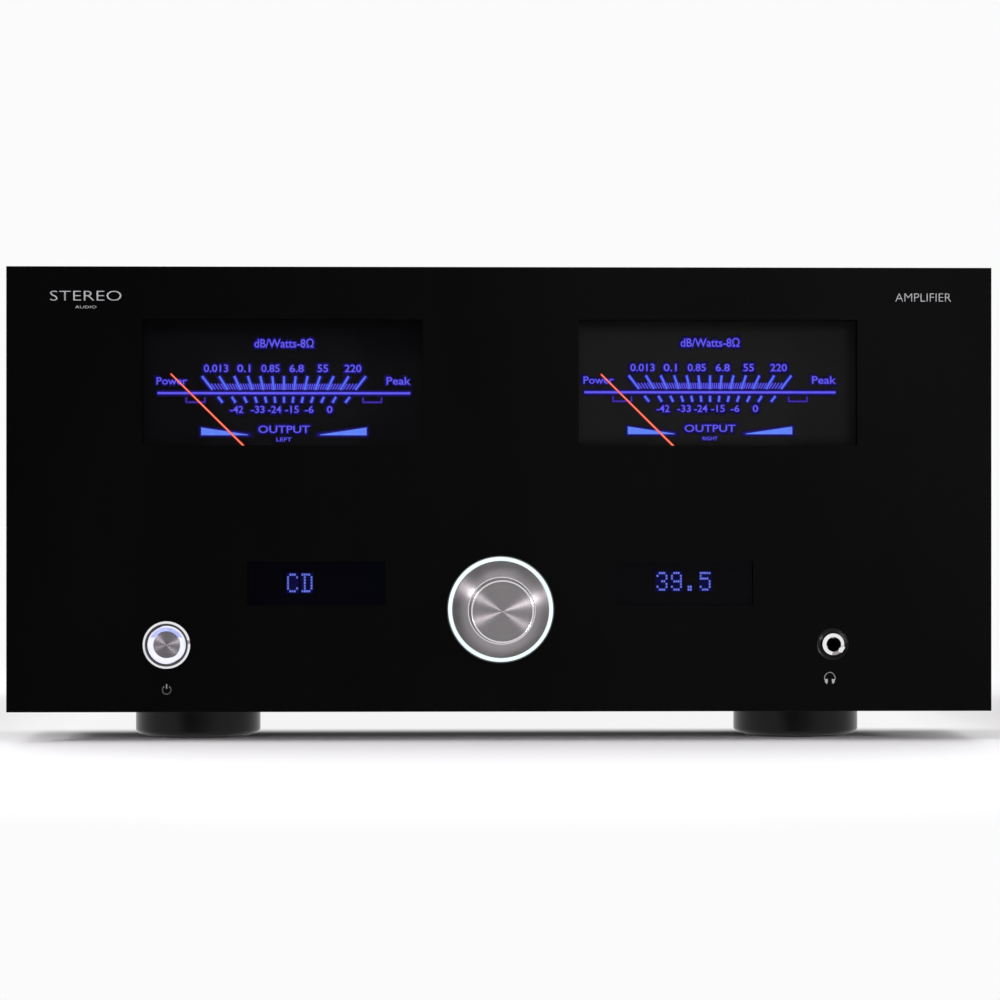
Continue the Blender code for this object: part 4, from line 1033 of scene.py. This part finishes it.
def mains_module():
    """The metal pins in the mains socket and the screws of its flange."""
    face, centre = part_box("power_inlet")[1].y, middle("power_inlet")
    half_wide, half_tall = 0.00106, 0.00206
    shape = bmesh.new()
    for x, z in ((-0.007, -0.002), (0.007, -0.002), (0.0, 0.002)):
        add_box(shape, (x - half_wide, -0.0158, z - half_tall), (x + half_wide, -0.00535, z + half_tall))
    soften(piece("mains_pins", shape, "nickel", at=(centre.x, face, centre.z - 0.0195), smooth=0), 0.0003)
    for i, side in enumerate((-1, 1)):
        spot = (centre.x + side * 0.0215, face - 0.0001, centre.z + 0.0015)
        screw(f"inlet_screw_{i}", spot, (0, 1, 0), size=0.8)


def rear_marks():
    """Plain printed captions beside the connectors."""
    lower, upper = SOCKET_ROWS
    speakers = [middle(f"{side}_speaker_terminal").x for side in ("left", "right")]
    captions = [(str(PHONO_COUNT - i), PHONO_FIRST + i * PHONO_STEP, upper + 0.0088, 0.0020)
                for i in range(PHONO_COUNT)]
    captions += [("R", 0.0935, lower, 0.0024), ("L", 0.0935, upper, 0.0024),
                 ("INPUTS", 0.020, 0.1530, 0.0024), ("COAXIAL", COAXIAL_X, 0.1535, 0.0018),
                 ("USB", USB_X, 0.1625, 0.0018), ("TRIGGER", TRIGGER_X, 0.1535, 0.0018),
                 ("BALANCED", 0.148, 0.1540, 0.0022), ("POWER", -0.165, 0.1160, 0.0024),
                 ("SPEAKER LEFT", speakers[0], 0.0840, 0.0024),
                 ("SPEAKER RIGHT", speakers[1], 0.0840, 0.0024)]
    shape = bmesh.new()
    for words, x, z, height in captions:
        add_text(shape, words, x, z, height, REAR_Y, towards=1)
    arm, z, flat = 0.0013, 0.0800, (0.0005, REAR_Y + HAIR, REAR_Y)
    for middle_x in speakers:
        for side in (-1, 1):
            x = middle_x + side * SPEAKER_HALF_GAP
            add_stroke(shape, [(x - arm, z), (x + arm, z)], *flat)
            if side > 0:
                add_stroke(shape, [(x, z - arm), (x, z + arm)], *flat)
    piece("rear_marks", shape, "pale_ink", smooth=0)


# ---------------------------------------------------------------- CAD nodes that stay, with new finishes
def carried_over():
    """Every CAD node still showing gets its finish and, where it shows, rounded edges."""
    looks = {
        "steel": ("bottom_chassis", "rear_panel", "headphone_nut"),
        "grey": ("front_frame", "encoder_shaft", "encoder_body", "left_meter_movement",
                 "right_meter_movement"),
        "nickel": ("encoder_nut", "power_nut"),
        "sink": ("left_heatsink", "right_heatsink"),
        "bare": ("transformer_clamp",),
        "winding": ("transformer",),
        "sheath": ("mains_lead", "ribbon_cable"),
        "board": ("left_amp_board", "right_amp_board", "power_supply_board", "input_board",
                  "front_board"),
    }
    finishes = {node: key for key, nodes in looks.items() for node in nodes}
    for name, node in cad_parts.items():
        if node.hide_render:
            continue
        material = MATERIALS[finishes.get(name, "plastic")]
        node.data.materials.clear()
        node.data.materials.append(material)
    for name in ("power_inlet", "fuse_drawer", "mains_rocker", "xlr_socket_left", "xlr_socket_right"):
        soften(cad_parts[name], 0.0003, 2, 40)


# ---------------------------------------------------------------- stage, light and camera
ROOM_WHITE = (0.965, 0.965, 0.965)


def floor():
    """A pale floor. Away from the object it takes the room's own white, so that no horizon shows and the
    case's far shadows fade into it, and in the narrow gap beneath the case painted light lifts the shade that
    falls there."""
    shape = bmesh.new()
    bmesh.ops.create_grid(shape, x_segments=1, y_segments=1, size=5.0)
    ground = loose("floor", shape)
    made, tree, shader = nodes_of("pale_floor")
    grain = noise(tree, coordinates(tree), 3.0, 3.0)
    plug(tree, shader, Base_Color=blend(tree, grain, (0.89, 0.89, 0.89), (0.92, 0.92, 0.92)),
         Roughness=0.8, Specular_IOR_Level=0.1)
    x, y, _ = axes(tree)
    away = spread(tree, length(tree, coordinates(tree)), 0.33, 0.62, smooth=True)
    # Painted light: under the case, where its own shadow falls, the floor is mixed towards white for camera
    # rays.
    beside = spread(tree, maths(tree, "ABSOLUTE", x), 0.195, 0.270, 1.0, 0.0, smooth=True)
    ahead = spread(tree, y, -0.135, -0.095, smooth=True)
    behind = spread(tree, y, 0.100, 0.180, 0.94, 0.0, smooth=True)
    beneath = maths(tree, "MULTIPLY", maths(tree, "MULTIPLY", beside, ahead), behind)
    seen = add(tree, "LightPath").outputs["Is Camera Ray"]
    share = maths(tree, "MULTIPLY", maths(tree, "MAXIMUM", away, beneath), seen)
    white = add(tree, "Emission", Color=(*ROOM_WHITE, 1))
    mixed = add(tree, "MixShader")
    for socket, value in zip(mixed.inputs, (share, shader.outputs[0], white.outputs[0])):
        tree.links.new(value, socket)
    plug(tree, tree.nodes["Material Output"], Surface=mixed.outputs[0])
    ground.data.materials.append(made)
    ground.visible_glossy = False


def room():
    """A white room, with a dark screen behind the camera that keeps the glass black. Directly seen it is
    plain white."""
    world = bpy.data.worlds.new("room")
    bpy.context.scene.world = world
    world.use_nodes = True
    tree = world.node_tree
    x, y, z = axes(tree, "Generated")
    screen = spread(tree, y, -0.72, -0.965, smooth=True)
    corner = spread(tree, maths(tree, "ADD", x, z), 0.06, 0.22, smooth=True)
    dark = blend(tree, spread(tree, x, -0.12, 0.06), (0.14, 0.14, 0.14), (0.31, 0.31, 0.31))
    dark = blend(tree, corner, dark, (0.50, 0.50, 0.50))
    walls = blend(tree, screen, (0.85, 0.85, 0.86), dark)
    seen = add(tree, "LightPath").outputs["Is Camera Ray"]
    plug(tree, tree.nodes["Background"], Color=blend(tree, seen, walls, ROOM_WHITE))


def lamp(name, at, aim, size, watts, colour=(1, 1, 1)):
    light = bpy.data.lights.new(name, "AREA")
    light.shape = "RECTANGLE"
    light.size, light.size_y = size
    light.energy = watts
    light.color = colour
    stand(name, light, at, (Vector(aim) - Vector(at)).to_track_quat("-Z", "Y").to_euler())


def stand(name, data, at, turn):
    """Puts a lamp or a camera in the scene."""
    made = bpy.data.objects.new(name, data)
    made.location = at
    made.rotation_euler = turn
    bpy.context.scene.collection.objects.link(made)
    return made


def studio():
    """Soft light from above and behind, and two small lamps at the front that draw the bright rays on
    the turned metal."""
    front, warm = (0, -0.2, 0.08), (1.0, 0.95, 0.99)
    lamp("overhead", (0, 0.9, 2.6), (0, 0.9, 0), (2.6, 2.2), 22)
    lamp("left_lamp", (-1.55, -1.45, 0.96), front, (0.20, 0.42), 24, warm)
    lamp("right_lamp", (1.60, -1.65, 0.54), front, (0.42, 0.20), 21, warm)


def viewpoint():
    """The camera stands a little to the left of the middle, level, and turned to the panel's middle."""
    side, distance, height = -0.040, 1.5, 0.10585
    camera = bpy.data.cameras.new("camera")
    camera.sensor_width = 36
    camera.lens = 123.82
    camera.shift_x = -0.0007
    camera.clip_start, camera.clip_end = 0.05, 50
    turn = (math.pi / 2, 0, math.atan(side / distance))
    bpy.context.scene.camera = stand("camera", camera, (side, FACE_Y - distance, height), turn)
    bpy.context.scene.view_settings.view_transform = "Standard"


front_panel()
panel_marks()
volume_knob()
knob_light()
power_button()
headphone_socket()
for side in ("left", "right"):
    dial(side)
    needle(side)
display("left", "CD", -0.0930)
display("right", "39.5", 0.0692, 0.0006)
folded_cover()
case_screws()
feet()
sockets()
xlr_fittings()
speaker_terminals()
mains_module()
rear_marks()
carried_over()
floor()
room()
studio()
viewpoint()
